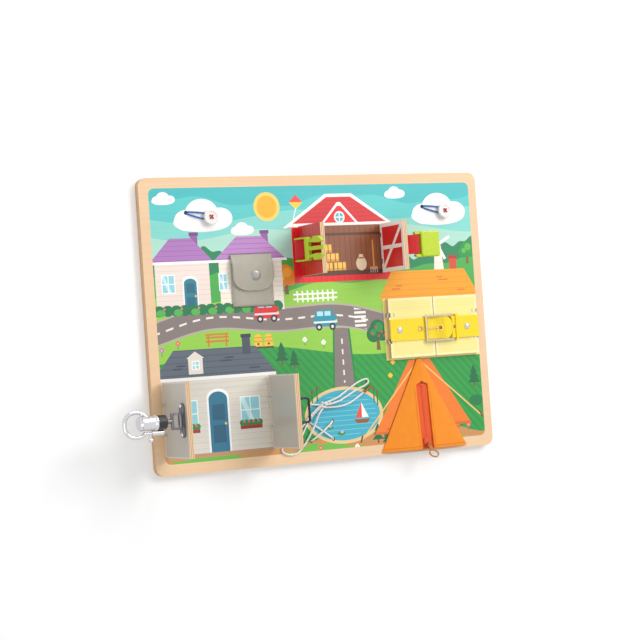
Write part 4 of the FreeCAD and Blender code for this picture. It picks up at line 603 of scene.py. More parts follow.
def paint_plants(art):
    round_tree(art, 183, 200, 0.8)
    round_tree(art, -41, 176, 1.0, (238, 138, 32), (250, 176, 58))
    round_tree(art, 64, 112, 1.05, (10, 110, 62), (40, 146, 70))
    fruit = ((-7, 18), (-2, 24), (5, 19), (8, 15), (1, 15))
    art.lay((226, 60, 48), *[art.disc(64 + x, 112 + y, 1.3) for x, y in fruit])
    for x, y, size in ((-52, 104, 0.9), (-38, 99, 0.75), (181, 66, 0.9), (56, 14, 0.8), (66, 11, 0.6)):
        pine(art, x, y, size, (10, 104, 58))
    art.lay((20, 120, 62), art.disc(-58, 76, 9, 7), art.disc(-50, 72, 8, 6), art.disc(182, 50, 9, 6))
    tones = ((240, 92, 118), (255, 255, 255), (250, 200, 40), (196, 120, 200))
    places = ((-44, 86), (-60, 56), (-50, 40), (-36, 24), (-14, 14), (30, 12), (76, 84), (82, 66),
        (170, 24), (-24, 128), (80, 98), (-186, 126), (-168, 132), (-2, 124))
    for i, (x, y) in enumerate(places):
        flower(art, x, y, tones[i % 4])
    rail = art.both(art.panel(-8, 173, 26, 6), art.dashes(6, 0.3))
    art.lay((255, 253, 244), art.panel(-8, 170.4, 26, 0.9), art.panel(-8, 175.4, 26, 0.9), rail)
    # a bench, and hives on a stand
    art.lay((214, 120, 50), art.panel(-124, 132, 13, 1), art.panel(-124, 136, 13, 0.9),
        art.panel(-124, 139, 13, 0.9), art.panel(-134, 133, 0.9, 6.4), art.panel(-114, 133, 0.9, 6.4))
    for x in (-78, -66):
        art.lay((246, 196, 70), art.gable(x, 124, 5, 5, 5), art.gable(x, 129, 4.6, 4, 4.2),
            art.disc(x, 133, 4, 3.6))
        art.lay((206, 146, 40), art.panel(x, 129, 4.8, 0.4), art.panel(x, 133, 4.2, 0.4))
        art.lay((90, 56, 32), art.disc(x, 126.4, 1.2), art.panel(x, 122.6, 5.6, 0.9))
    # a windmill on the far hill
    art.lay((250, 240, 224), art.gable(146, 190, 6.5, 32, 4))
    art.lay((176, 86, 60), art.gable(146, 222, 5.2, 6))
    sails = []
    for a in (0.5, 2.07, 3.64, 5.21):
        sails.append(art.panel(146 + 9 * math.cos(a), 222 + 9 * math.sin(a), 9, 1.6, math.degrees(a)))
    art.lay((255, 255, 255), *sails)
    art.lay((176, 86, 60), art.disc(146, 222, 1.6))


def rounded_area(tree, point, middle, half, corner):
    """1 inside a rectangle with round corners."""
    away = vector(tree, "ABSOLUTE", vector(tree, "SUBTRACT", point, (middle[0], middle[1], 0)))
    past = vector(tree, "MAXIMUM", vector(tree, "SUBTRACT", away,
        (half[0] - corner, half[1] - corner, 1e6)), (0, 0, 0))
    return calc(tree, "LESS_THAN", vector(tree, "LENGTH", past), corner)


def printed_board():
    """Birch plywood with the printed picture inside a bare border."""
    finish = Finish("printed_plywood", 0.42, coat=0.25)
    tree = finish.tree
    rise = vector(tree, "SUBTRACT", finish.point, (0.0, FOOT * 1000, 0.0))
    parts = apart(tree, rise)
    flat = together(tree, parts[0], parts[1], 0.0)
    art = Picture(tree, flat, paint(64, 188, 190))
    for stage in (paint_sky, paint_hills, paint_road, paint_pond, paint_plants, paint_homes, paint_hall,
            paint_cottage, paint_shed, paint_camp):
        stage(art)
    paint_van(art, -66, 152, (226, 44, 52), (255, 230, 230))
    paint_van(art, 2, 140, (38, 150, 170), (240, 250, 250))
    grain = use(tree, "grain", Point=finish.point, Strength=0.16)
    wood = wooden(finish, colours().wood, colours().glue, parts[2], 1.3, grain)
    inside = rounded_area(tree, flat, (0.5, 150.2), (190, 139), 6)
    on_face = calc(tree, "GREATER_THAN", parts[2], FACE * 1000 - 0.02)
    where = calc(tree, "MULTIPLY", inside, on_face)
    ink = scaled(tree, art.colour, grain["Value"])
    finish.set("Base Color", mix(tree, where, wood, ink))
    finish.set("Roughness", calc(tree, "MULTIPLY_ADD", where, -0.16, 0.52))
    finish.bump(grain["Height"], 0.05, 0.0002)
    return finish.material


def wooden(finish, face, edge, depth, pitch, grain):
    """Plywood colour: the face, and plies where the surface is an edge."""
    tree = finish.tree
    plies = use(tree, "plies", Depth=depth, Pitch=pitch, Point=finish.point)["Mask"]
    ground = put(tree, "ShaderNodeRGB").outputs[0]
    ground.default_value = tuple(face)
    return scaled(tree, mix(tree, plies, ground, tuple(edge)), grain["Value"])


def back_plywood():
    finish = Finish("back_plywood", 0.55)
    grain = use(finish.tree, "grain", Point=finish.point, Strength=0.2)
    depth = apart(finish.tree, finish.point)[2]
    finish.set("Base Color", wooden(finish, colours().wood, colours().glue, depth, 1.5, grain))
    finish.bump(grain["Height"], 0.08, 0.0002)
    return finish.material


def door_paint(name, colour, axis, side, opened, middle_y, half_tall, wide, draw):
    """Painted plywood door: paint on both faces, plies on the edges, and what draw adds."""
    finish = Finish(name, 0.3, coat=0.35)
    tree = finish.tree
    place = apart(tree, finish.point)
    axis_z = FACE * 1000 + DOOR_AXIS_OUT
    if opened:
        across = calc(tree, "SUBTRACT", place[2], axis_z)
        out = calc(tree, "MULTIPLY", calc(tree, "SUBTRACT", place[0], axis), float(side))
    else:
        across = calc(tree, "MULTIPLY", calc(tree, "SUBTRACT", place[0], axis), float(-side))
        out = calc(tree, "SUBTRACT", place[2], axis_z)
    up = calc(tree, "SUBTRACT", place[1], middle_y)
    grain = use(tree, "grain", Point=finish.point, Strength=0.1)
    local = together(tree, across, up, 0.0)
    ground = put(tree, "ShaderNodeRGB").outputs[0]
    ground.default_value = tuple(colour)
    art = Picture(tree, local, ground)
    draw(art, wide, half_tall, calc(tree, "GREATER_THAN", out, 0.0))
    plies = wooden(finish, colours().wood, colours().glue, out, 0.9, grain)
    on_face = calc(tree, "GREATER_THAN", calc(tree, "ABSOLUTE", out), 2.46)
    ink = scaled(tree, art.colour, grain["Value"])
    finish.set("Base Color", mix(tree, on_face, plies, ink))
    finish.set("Roughness", calc(tree, "MULTIPLY_ADD", on_face, -0.26, 0.55))
    finish.bump(grain["Height"], 0.05, 0.0002)
    return finish.material


def barn_pattern(art, wide, half, outer):
    """White frame and one brace on the inner face, planks on the outer."""
    middle = wide / 2 + 0.4
    inner = calc(art.tree, "SUBTRACT", 1.0, outer)
    planks = art.both(art.dashes(8, 0.08), outer)
    art.lay((168, 20, 26), planks)
    edge = calc(art.tree, "SUBTRACT", 1.0, art.panel(middle, 0, wide / 2 - 4.2, half - 4.2))
    brace = art.both(art.panel(middle, 0, 2, wide * 0.72, -43), art.panel(middle, 0, wide / 2, half))
    bars = calc(art.tree, "MAXIMUM", calc(art.tree, "MAXIMUM", edge, brace),
        art.panel(middle, 0, wide, 2))
    art.lay((252, 248, 244), art.both(bars, inner))


def house_pattern(art, wide, half, outer):
    edge = calc(art.tree, "SUBTRACT", 1.0, art.panel(wide / 2 + 0.4, 0, wide / 2 - 1.6, half - 1.6))
    art.lay((214, 210, 202), edge)


def shed_pattern(art, wide, half, outer):
    art.lay((242, 224, 136), art.dashes(10.6, 0.035, art.up))
    edge = calc(art.tree, "SUBTRACT", 1.0, art.panel(wide / 2 + 0.4, 0, wide / 2 - 2.4, half - 2.4))
    art.lay((255, 244, 184), art.both(edge, outer))


# How far the doors' axes stand off the board's face
DOOR_AXIS_OUT = 2.8
# Each door's node, its axis across the board, its side, whether it stands open at rest, its middle up
# the board, half its height, and its width, in millimetres
DOORS = [
    ("barn_door_left", -22, -1, True, 70.2, 26, 48.2),
    ("barn_door_right", 76, 1, True, 70.2, 26, 48.2),
    ("house_door_left", -187.5, -1, True, -93.75, 37.75, 58.95),
    ("house_door_right", -68, 1, True, -93.75, 37.75, 58.95),
    ("shed_door_left", 75.7, -1, False, -16.125, 31.875, 55.2),
    ("shed_door_right", 187.7, 1, False, -16.125, 31.875, 55.2),
]


def make_boards():
    wear_on("front_board", printed_board())
    wear_on("back_board", back_plywood())


def make_doors():
    patterns = {"barn": (barn_pattern, colours().barn), "house": (house_pattern, colours().house),
        "shed": (shed_pattern, colours().shed)}
    steel = plain("hinge_steel", paint(176, 176, 178), 0.34, 1.0, scale=0.6)
    for node, axis, side, opened, middle, half, wide in DOORS:
        draw, colour = patterns[node.split("_")[0]]
        wear_on(node, door_paint(node + "_paint", colour, axis, side, opened, middle, half, wide, draw))
        wear_on(node + "_hinge_leaves", steel)
    wear_on("hinge_tabs", steel)


# Meshes: short ways to make them

def mesh_object(name, shape, material, body, smooth=True):
    bmesh.ops.recalc_face_normals(shape, faces=shape.faces)
    mesh = bpy.data.meshes.new(name)
    shape.to_mesh(mesh)
    shape.free()
    if smooth:
        mesh.polygons.foreach_set("use_smooth", [True] * len(mesh.polygons))
    made = bpy.data.objects.new(name, mesh)
    bpy.context.scene.collection.objects.link(made)
    mesh.materials.append(material)
    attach(made, body)
    return made


def drawn_line(name, points, steps):
    """A smooth line that starts at the first point, ends at the last and is drawn towards the others."""
    curve = bpy.data.curves.new(name, "CURVE")
    curve.dimensions = "3D"
    line = curve.splines.new("NURBS")
    line.points.add(len(points) - 1)
    for place, point in zip(line.points, points):
        place.co = (*point, 1.0)
    line.order_u = 3
    line.use_endpoint_u = True
    line.resolution_u = steps
    return curve


def route(name, points, thick, body, material):
    """A cord along the smooth line of its points."""
    curve = drawn_line(name, points, 10)
    curve.bevel_depth = thick / 2
    curve.bevel_resolution = 4
    curve.use_fill_caps = True
    curve.materials.append(material)
    made = bpy.data.objects.new(name, curve)
    bpy.context.scene.collection.objects.link(made)
    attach(made, body)
    return made


def smooth_line(points, steps=10):
    """Places along the smooth line that a cord with these points would take."""
    holder = bpy.data.objects.new("line", drawn_line("line", points, steps))
    bpy.context.scene.collection.objects.link(holder)
    bpy.context.view_layer.update()
    drawn = bpy.data.meshes.new_from_object(holder.evaluated_get(bpy.context.evaluated_depsgraph_get()))
    places = [vertex.co.copy() for vertex in drawn.vertices]
    bpy.data.objects.remove(holder)
    bpy.data.meshes.remove(drawn)
    return places


def thicken(piece, thick, bevel):
    """Gives a thin piece its thickness, half to each side, and soft edges."""
    solid = piece.modifiers.new("thickness", "SOLIDIFY")
    solid.thickness = thick
    solid.offset = 0.0
    solid.use_even_offset = True
    edge = piece.modifiers.new("soft edge", "BEVEL")
    edge.width = bevel
    edge.segments = 2
    edge.limit_method = "ANGLE"
    edge.angle_limit = math.radians(50)


def box_mesh(low, high, bevel, segments=2):
    shape = bmesh.new()
    bmesh.ops.create_cube(shape, size=1.0)
    size = Vector(high) - Vector(low)
    bmesh.ops.scale(shape, vec=size, verts=shape.verts)
    bmesh.ops.translate(shape, vec=(Vector(low) + Vector(high)) / 2, verts=shape.verts)
    if bevel:
        bmesh.ops.bevel(shape, geom=shape.edges[:], offset=bevel, segments=segments, profile=0.5,
            affect="EDGES", material=-1)
    return shape


def ribbon(name, line, across, half, thick, body, material, rows=8, bevel=0.0003):
    """A flat band along a line of places, across being the direction of its width."""
    shape = bmesh.new()
    uv = shape.loops.layers.uv.new("UVMap")
    across = Vector(across).normalized()
    lengths = [0.0]
    for last, here in zip(line, line[1:]):
        lengths.append(lengths[-1] + (here - last).length)
    start = [shape.verts.new(line[0] + across * half * (2 * j / rows - 1)) for j in range(rows + 1)]
    for last, here in zip(start, start[1:]):
        shape.edges.new((last, here))
    edges = shape.edges[:]
    rings = [start]
    for before, after in zip(line, line[1:]):
        made = bmesh.ops.extrude_edge_only(shape, edges=edges)["geom"]
        ring = [item for item in made if isinstance(item, bmesh.types.BMVert)]
        bmesh.ops.translate(shape, vec=after - before, verts=ring)
        lines = [item for item in made if isinstance(item, bmesh.types.BMEdge)]
        edges = [item for item in lines if all(vertex in ring for vertex in item.verts)]
        rings.append(ring)
    where = {vertex: length for ring, length in zip(rings, lengths) for vertex in ring}
    for face in shape.faces:
        for loop in face.loops:
            loop[uv].uv = ((loop.vert.co - line[0]).dot(across) * 1000, where[loop.vert] * 1000)
    piece = mesh_object(name, shape, material, body)
    thicken(piece, thick, bevel)
    return piece


def stitches(name, line, up, body, material, wide=0.0006, tall=0.0004):
    """Short raised stitches along a line of places."""
    shape = bmesh.new()
    step = sizes().stitch_long
    up = Vector(up).normalized()
    travelled = 0.0
    due = step * 0.3
    for last, here in zip(line, line[1:]):
        run = (here - last).length
        if run < 1e-7:
            continue
        ahead = (here - last) / run
        side = up.cross(ahead).normalized()
        while due <= travelled + run:
            middle = last + ahead * (due - travelled)
            turn = Matrix((ahead, side, up)).transposed().to_4x4()
            made = bmesh.ops.create_icosphere(shape, subdivisions=1, radius=0.5,
                matrix=Matrix.Translation(middle) @ turn)["verts"]
            centre = Matrix.Translation(-middle)
            bmesh.ops.scale(shape, vec=(step * 0.72, wide, tall), verts=made,
                space=turn.inverted() @ centre)
            due += step
        travelled += run
    return mesh_object(name, shape, material, body)


def cloth(name, colour, pitch, roughness=0.85, strength=0.35, by_uv=False, sheen=0.25, depth=0.0002):
    """Woven cloth, its threads along the piece's UV map or along X and Y."""
    finish = Finish(name, roughness)
    tree = finish.tree
    place = apart(tree, put(tree, "ShaderNodeTexCoord").outputs["UV"] if by_uv else finish.point)
    woven = use(tree, "weave", Across=place[0], Along=place[1], Pitch=pitch)["Height"]
    wear = use(tree, "wear", Point=finish.point, Scale=0.12)
    shaded = finish.tinted(colour, wear["Value"], 0.95, 1.03)
    # The weave's height also sets the colour: darker in the gaps between the threads, a painted shade.
    level = calc(tree, "MULTIPLY_ADD", woven, 0.16, 0.88)
    finish.set("Base Color", scaled(tree, shaded, level))
    finish.surface.inputs["Sheen Weight"].default_value = sheen
    finish.surface.inputs["Sheen Roughness"].default_value = 0.4
    finish.bump(woven, strength, depth)
    return finish.material


def braid(name, colour, pitch):
    """Braided cord: strands that cross each other aslant."""
    finish = Finish(name, 0.8)
    tree = finish.tree
    place = apart(tree, finish.point)
    one = calc(tree, "ADD", place[0], place[1])
    two = calc(tree, "SUBTRACT", place[0], place[1])
    woven = use(tree, "weave", Across=calc(tree, "ADD", one, place[2]), Along=two, Pitch=pitch)["Height"]
    # The braid's height also sets the colour: darker in the gaps between the strands, a painted shade.
    level = calc(tree, "MULTIPLY_ADD", woven, 0.18, 0.86)
    tint = finish.tinted(colour, use(tree, "wear", Point=finish.point, Scale=0.3)["Value"], 0.95, 1.03)
    finish.set("Base Color", scaled(tree, tint, level))
    finish.surface.inputs["Sheen Weight"].default_value = 0.2
    finish.bump(woven, 0.5, 0.0002)
    return finish.material


# Camera and cords

def make_camera():
    """The photograph's viewpoint, fitted to the board's corners."""
    rows = ((0.8823, -0.068, 0.4657), (-0.0515, -0.9975, -0.0481), (0.4678, 0.0184, -0.8836))
    shift = (13.95870261, 146.86153071, 1925.60856581)
    focal_pixels, image_pixels, sensor = 1835.781, 640.0, 36.0
    right = Vector(rows[0]).normalized()
    ahead = Vector(rows[2]).normalized()
    up = right.cross(ahead).normalized()
    data = bpy.data.cameras.new("camera")
    data.sensor_width = sensor
    data.lens = focal_pixels * sensor / image_pixels
    data.clip_start = 0.05
    data.clip_end = 40.0
    camera = bpy.data.objects.new("camera", data)
    bpy.context.scene.collection.objects.link(camera)
    turn = Matrix((right, up, -ahead)).transposed().to_4x4()
    place = [-sum(rows[i][j] * shift[i] for i in range(3)) for j in range(3)]
    turn.translation = Vector((place[0] * MM, FOOT + place[1] * MM, FACE + place[2] * MM))
    camera.matrix_world = turn
    bpy.context.scene.camera = camera


# The lace's loops, loose ends and run through its holes, each as the points that its line follows
LACE_EARS = {
    "left": [
        (-9.4, 60.2, 12.2), (-21.9, 52.1, 12.2), (-32.3, 39.3, 9.5), (-44, 29.5, 9.3), (-57, 20.5, 9.3),
        (-60.6, 14.4, 9.3), (-54.4, 10, 9.3), (-44, 9.4, 9.3), (-35.3, 15.6, 9.4), (-27.5, 26.4, 10),
        (-20.8, 38.4, 12.3), (-14.9, 50.8, 12.2), (-9.8, 55.2, 11.6)],
    "right": [
        (-7.4, 58.2, 12), (6, 59.6, 12.3), (20, 65.5, 9.8), (34, 72.4, 9.3), (43.6, 75.4, 9.3),
        (48.4, 79, 9.3), (46, 83.2, 9.3), (34, 79.4, 9.3), (20, 71.2, 9.5), (6, 63.8, 12),
        (-7.2, 60.4, 11.6)],
}
LACE_TAILS = {
    "left": [
        (-11.2, 56.6, 10.5), (-18.6, 50.8, 9.3), (-25.4, 44.6, 9.4), (-31.4, 35.4, 9.4), (-36, 27.4, 9.7)],
    "right": [
        (-6.6, 55.8, 10.4), (8, 54.8, 9.3), (22, 57.4, 9.3), (33, 63.2, 9.4), (41, 68.4, 9.7)],
}
LACE_CROSSING = [
    (-11.5, 58.6, 9.6), (-24.3, 60, 9.3), (-24.3, 60, 4.4), (-24.3, 41, 4.4), (-24.3, 41, 9.3),
    (2.3, 22, 9.3), (2.3, 22, 4.4), (-24.3, 22, 4.4), (-24.3, 22, 9.3), (-14.724, 28.84, 11.8),
    (-7.276, 34.16, 11.8), (2.3, 41, 9.3), (2.3, 41, 4.4), (2.3, 60, 4.4), (2.3, 60, 9.3),
    (-6, 58.6, 9.6),
]


def length_of(points):
    """The length of the smooth line of these points."""
    line = smooth_line(points, 24)
    return sum((b - a).length for a, b in zip(line, line[1:]))


def make_lace():
    material = braid("lace_braid", colours().lace, 0.55)
    thick = sizes().lace_thick
    points = [spot(*point) for point in LACE_CROSSING]
    made = route("lace_run", points, thick, "board", material)
    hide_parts("lace_crossing")
    for side, row in LACE_EARS.items():
        points = [spot(*point) for point in row]
        ear = route(f"lace_bow_{side}", points, thick, "board", material)
        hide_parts(f"lace_ear_{side}")
        length_of(points)
    wrap = []
    for a in [i * math.pi / 4 for i in range(2, 15)]:
        wrap.append(spot(-8.75 + 3.1 * math.sin(a) + 0.5 * (a / math.pi - 2), 58.2 + 0.6 * a - 3.6,
            10.9 - 2.0 * math.cos(a)))
    knot = route("lace_wrap", wrap, thick * 1.15, "board", material)
    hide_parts("lace_knot")
    metal = plain("lace_sleeve", paint(150, 104, 62), 0.3, 0.8, scale=0.5)
    wear_on("lace_aglets", metal)
    for side, row in LACE_TAILS.items():
        points = [spot(*point) for point in row]
        tail = route(f"lace_tail_end_{side}", points, thick, "board", material)
        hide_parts(f"lace_tail_{side}")
        length_of(points)


def loop_points(hole_x):
    """The elastic's route from its hole round the button's thread and back."""
    turn, hole_y = math.radians(-11), 263.8
    half = [(0, -0.95, -3.2), (0, -0.95, 1.15), (13.3, -2.64, 1.15), (26.1, -3.3, 1.15),
        (30.2, -3.3, 1.15)]
    whole = half + [(x, -y, z) for x, y, z in reversed(half)]
    return [spot(hole_x + x * math.cos(turn) - y * math.sin(turn),
        hole_y + x * math.sin(turn) + y * math.cos(turn), FACE * 1000 + z) for x, y, z in whole]


def make_elastics():
    material = braid("elastic_braid", colours().elastic, 0.4)
    for side, x in (("left", -149.5), ("right", 130)):
        points = loop_points(x)
        loop = route(f"elastic_{side}", points, sizes().elastic_thick, "board", material)
        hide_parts(f"elastic_loop_{side}")
        length_of(points)


def make_buttons():
    white = plain("button_white", paint(246, 244, 240), 0.22, coat=0.4, low=0.97, high=1.02)
    thread = braid("button_thread", colours().thread, 0.35)
    for side in ("left", "right"):
        wear_on(f"button_{side}", white)
    wear_on("button_threads", thread)


# Cloth, belt and webbing

# Sewn pieces, all in millimetres: the pouch's sides; and of the tent its middle, its hem and its peak,
# half its width and how far it stands off the board at either, and its opening for the zip
POUCH_LEFT, POUCH_RIGHT = -104.2, -57.5
TENT_MIDDLE = 111.9
TENT_LOW, TENT_TOP = 2.6, 99.5
TENT_HALF, TENT_PEAK_HALF = 53.1, 2.6
TENT_BULGE, TENT_PEAK_BULGE = 9.0, 2.6
TENT_EDGE = 1.25
ZIP_OPENING, ZIP_OPENING_TOP = 7.2, 73.8
ZIP_PITCH, ZIP_TEETH, ZIP_TAPE_LONG, ZIP_DEPTH = 3, 21, 72.5, -2.35


def sheet(name, columns, rows, place, body, material, thick, bevel):
    """A cloth piece: a grid whose corners go to place(across, up), both from 0 to 1."""
    shape = bmesh.new()
    made = bmesh.ops.create_grid(shape, x_segments=columns, y_segments=rows, size=0.5)["verts"]
    for vertex in made:
        vertex.co = place(vertex.co.x + 0.5, vertex.co.y + 0.5)
    uv = shape.loops.layers.uv.new("UVMap")
    for face in shape.faces:
        for loop in face.loops:
            loop[uv].uv = (loop.vert.co.x * 1000, loop.vert.co.y * 1000)
    piece = mesh_object(name, shape, material, body)
    thicken(piece, thick, bevel)
    return piece


def flap_half_width(y):
    """Half of the flap's width at a height: full, then round at both lower corners."""
    corner, end, half = 15.0, 181.8, (POUCH_RIGHT - POUCH_LEFT) / 2
    if y >= end + corner:
        return half
    drop = min(1.0, (end + corner - y) / corner)
    return half - corner + corner * math.sqrt(max(0.0, 1 - drop * drop))


def make_pouch():
    felt = cloth("pouch_cloth", colours().pouch, 0.3, 0.7, 0.12, sheen=0.1)
    thread = plain("pouch_thread", paint(226, 224, 216), 0.8)
    middle = (POUCH_LEFT + POUCH_RIGHT) / 2
    face = FACE * 1000
    profile = smooth_line([spot(0, 219, face + 1.3), spot(0, 213, face + 3.6), spot(0, 208, face + 5.4),
        spot(0, 200, face + 5.7), spot(0, 190, face + 5.4), spot(0, 181.8, face + 4.6)], 6)

    def flap_place(across, up):
        """Straight at the hem, round at both lower corners, a little fuller in the middle."""
        here = profile[round((1 - up) * (len(profile) - 1))]
        y = (here.y - FOOT) * 1000
        share = across * 2 - 1
        crown = 0.5 * (1 - share * share) * math.sin(math.pi * min(1, max(0, (219 - y) / 37)))
        return Vector(((middle + flap_half_width(y) * share) * MM, here.y, here.z + crown * MM))

    flap = sheet("pouch_flap_cloth", 16, len(profile) - 1, flap_place, "flap", felt, 0.0014,
        0.0004)
    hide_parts("pouch_flap")
    sides = []
    for side in (-1, 1):
        edge = [(here, flap_half_width((here.y - FOOT) * 1000)) for here in profile[1:]]
        wide_enough = [(here, half) for here, half in edge if half > 6]
        sides.append([Vector(((middle + side * (half - 2.6)) * MM, here.y, here.z + 0.00085))
            for here, half in wide_enough])
    stitches("pouch_flap_seam", sides[0] + sides[1][::-1], (0, 0, 1), "flap", thread)
    line = smooth_line([spot(0, 165.8, 5.2), spot(0, 165.8, face + 1.4), spot(0, 169, face + 2.4),
        spot(0, 178, face + 2.7), spot(0, 190, face + 2.7), spot(0, 202, face + 2.3),
        spot(0, 210, face + 1)], 6)

    def pocket_place(across, up):
        """Out of its slit, up over the board and in again, the sides bent down to the board."""
        here = line[round(up * (len(line) - 1))]
        share = across * 2 - 1
        fall = 1.9 * max(0.0, abs(share) - 0.86) / 0.14 if here.z > (face + 2) * MM else 0
        return Vector(((middle + 23.3 * share) * MM, here.y, here.z - fall * MM))

    pocket = sheet("pouch_pocket_cloth", 16, len(line) - 1, pocket_place, "board", felt,
        0.0014, 0.0004)
    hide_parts("pouch_pocket")
    wear_on("pouch_hem", felt)
    metal = plain("snap_grey", paint(150, 149, 144), 0.42, 0.9, scale=0.5)
    wear_on("stud_post", metal)
    wear_on("stud_cap", metal)


def tent_height(share, up):
    """The cloth's height over the board, share from -1 to 1 across and up from 0 at the hem to 1."""
    bulge = TENT_BULGE + (TENT_PEAK_BULGE - TENT_BULGE) * up
    return TENT_EDGE + (bulge - TENT_EDGE) * (1 - share * share)


def make_tent():
    canvas = cloth("tent_canvas", colours().tent, 0.4, 0.8, 0.3)
    thread = plain("tent_thread", paint(214, 102, 16), 0.8)
    face = FACE * 1000
    columns, rows = 14, 32
    for sign, side in ((-1, "left"), (1, "right")):
        def tent_place(across, up):
            """From the zip's window out to the leg, up to the peak."""
            y = TENT_LOW + (TENT_TOP - TENT_LOW) * up
            half = TENT_HALF + (TENT_PEAK_HALF - TENT_HALF) * up
            inner = min(ZIP_OPENING if y < ZIP_OPENING_TOP else 0.0, half)
            aside = inner + (half - inner) * across
            share = min(1.0, aside / half)
            fold = 0.35 * math.sin(share * 9 + up * 4) * share * (1 - share) * 4 * (1 - up)
            return spot(TENT_MIDDLE + sign * aside, y, face + tent_height(share, up) - 0.5 + fold)

        half_tent = sheet(f"tent_side_{side}", columns, rows, tent_place, "board", canvas,
            0.001, 0.0002)
        hem = [tent_place(i / columns, 0.0) + Vector((0, 0.003, 0.00062)) for i in range(columns + 1)]
        stitches(f"tent_hem_seam_{side}", hem, (0, 0, 1), "board", thread)
        inset = Vector((sign * 0.0022, 0, 0.0005))
        beside = [tent_place(0.0, i / rows) + inset for i in range(1, 23)]
        stitches(f"tent_zip_seam_{side}", beside, (0, 0, 1), "board", thread)
    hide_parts("tent_cover")


def zip_lean():
    """How far the zip leans back from the hem to the peak."""
    return math.atan((TENT_BULGE - TENT_PEAK_BULGE) / (TENT_TOP - TENT_LOW))


def zip_place(x, y, z):
    """A place on the zip, in its own directions: across, up from the hem, and out."""
    lean = zip_lean()
    return spot(TENT_MIDDLE + x, TENT_LOW + y * math.cos(lean) + z * math.sin(lean),
        FACE * 1000 + TENT_BULGE - y * math.sin(lean) + z * math.cos(lean))


def make_zip():
    tape = cloth("zip_tape_cloth", colours().zipper, 0.35, 0.8, 0.35)
    moulded = plain("zip_teeth", paint(232, 92, 40), 0.35)
    for sign, side, late in ((-1, "left", 1.5), (1, "right", 0.0)):
        line = [zip_place(sign * 4.8, ZIP_TAPE_LONG * i / 12, ZIP_DEPTH) for i in range(13)]
        band = ribbon(f"zip_band_{side}", line, (1, 0, 0), 0.0042, 0.0005, "board", tape,
            rows=4, bevel=0.0001)
        shape = bmesh.new()
        for i in range(ZIP_TEETH):
            middle = zip_place(sign * 0.45, 4.6 + late + ZIP_PITCH * i + 0.6, ZIP_DEPTH)
            turn = Matrix.Rotation(-zip_lean(), 4, "X") @ Matrix.Diagonal((0.0021, 0.0012, 0.0014, 1.0))
            bmesh.ops.create_cube(shape, size=1.0, matrix=Matrix.Translation(middle) @ turn)
        bmesh.ops.bevel(shape, geom=shape.edges[:], offset=0.0002, segments=1, profile=0.5,
            affect="EDGES", material=-1)
        teeth = mesh_object(f"zip_row_{side}", shape, moulded, "board")
        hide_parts(f"zip_tape_{side}")
        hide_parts(f"zip_tape_{side}")
    wear_on("zip_stops", moulded)
    metal = plain("zip_metal", paint(206, 88, 46), 0.3, 0.6, scale=0.6)
    wear_on("zip_slider", metal)
    wear_on("zip_pull", plain("pull_metal", paint(196, 132, 84), 0.25, 1.0, scale=0.6))


def door_place(node, across, up, out):
    """A place on a door as it stands at rest: across from its axis, up from its middle, and outwards."""
    for name, axis, side, opened, middle, *_ in DOORS:
        if name == node:
            z = FACE * 1000 + DOOR_AXIS_OUT
            if opened:
                return Vector(((axis + side * out) * MM, (middle + up) * MM, (z + across) * MM))
            return Vector(((axis - side * across) * MM, (middle + up) * MM, (z + out) * MM))
    raise ValueError(node)


def make_webbing():
    """Red webbing round the buckle's two bars, sewn to the barn doors."""
    woven = cloth("webbing_weave", colours().webbing, 0.8, 0.75, 0.6, by_uv=True, depth=0.0003)
    thread = plain("webbing_thread", paint(240, 70, 66), 0.7)
    ends = (
        ("left", Vector((20, 0, 14.6)), 31),
        ("right", Vector((43.6, 0, 15.5)), 41.5),
    )
    for side, pin, foot in ends:
        node = f"barn_door_{side}"
        base = Vector((foot, 0, 2.5 + 0.96))
        ahead = (base - pin).normalized()
        across = Vector((-ahead.z, 0, ahead.x))
        radius = 1.9 + 0.6
        places = [base + across * 0.66]
        places.append(pin + across * radius)
        for a in [math.pi * i / 6 for i in range(1, 6)]:
            places.append(pin + across * radius * math.cos(a) - ahead * radius * math.sin(a))
        places.append(pin - across * radius)
        places.append(base - across * 0.66)
        line = [door_place(node, place.x, 0, place.z) for place in places]
        band = ribbon(f"webbing_loop_{side}", line, (0, 1, 0), 0.01, 0.0012, f"barn_{side}", woven,
            8)
        low = door_place(node, foot - 6, -10, 2.5)
        high = door_place(node, foot + 4.2, 10, 3.7)
        lower = [min(a, b) for a, b in zip(low, high)]
        upper = [max(a, b) for a, b in zip(low, high)]
        block = box_mesh(lower, upper, 0.0003)
        flat_weave = cloth(f"webbing_patch_weave_{side}", colours().webbing, 0.8, 0.75, 0.5)
        patch = mesh_object(f"webbing_patch_{side}", block, flat_weave, f"barn_{side}",
            smooth=False)
        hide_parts(f"webbing_{side}")
        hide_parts(f"webbing_{side}")
        box = [(foot - 4.8, -8.6), (foot + 3, -8.6), (foot + 3, 8.6), (foot - 4.8, 8.6),
            (foot - 4.8, -8.6)]
        seam = [door_place(node, x, y, 3.75) for x, y in box]
        outwards = door_place(node, 0, 0, 1) - door_place(node, 0, 0, 0)
        stitches(f"webbing_seam_{side}", seam, outwards, f"barn_{side}", thread)


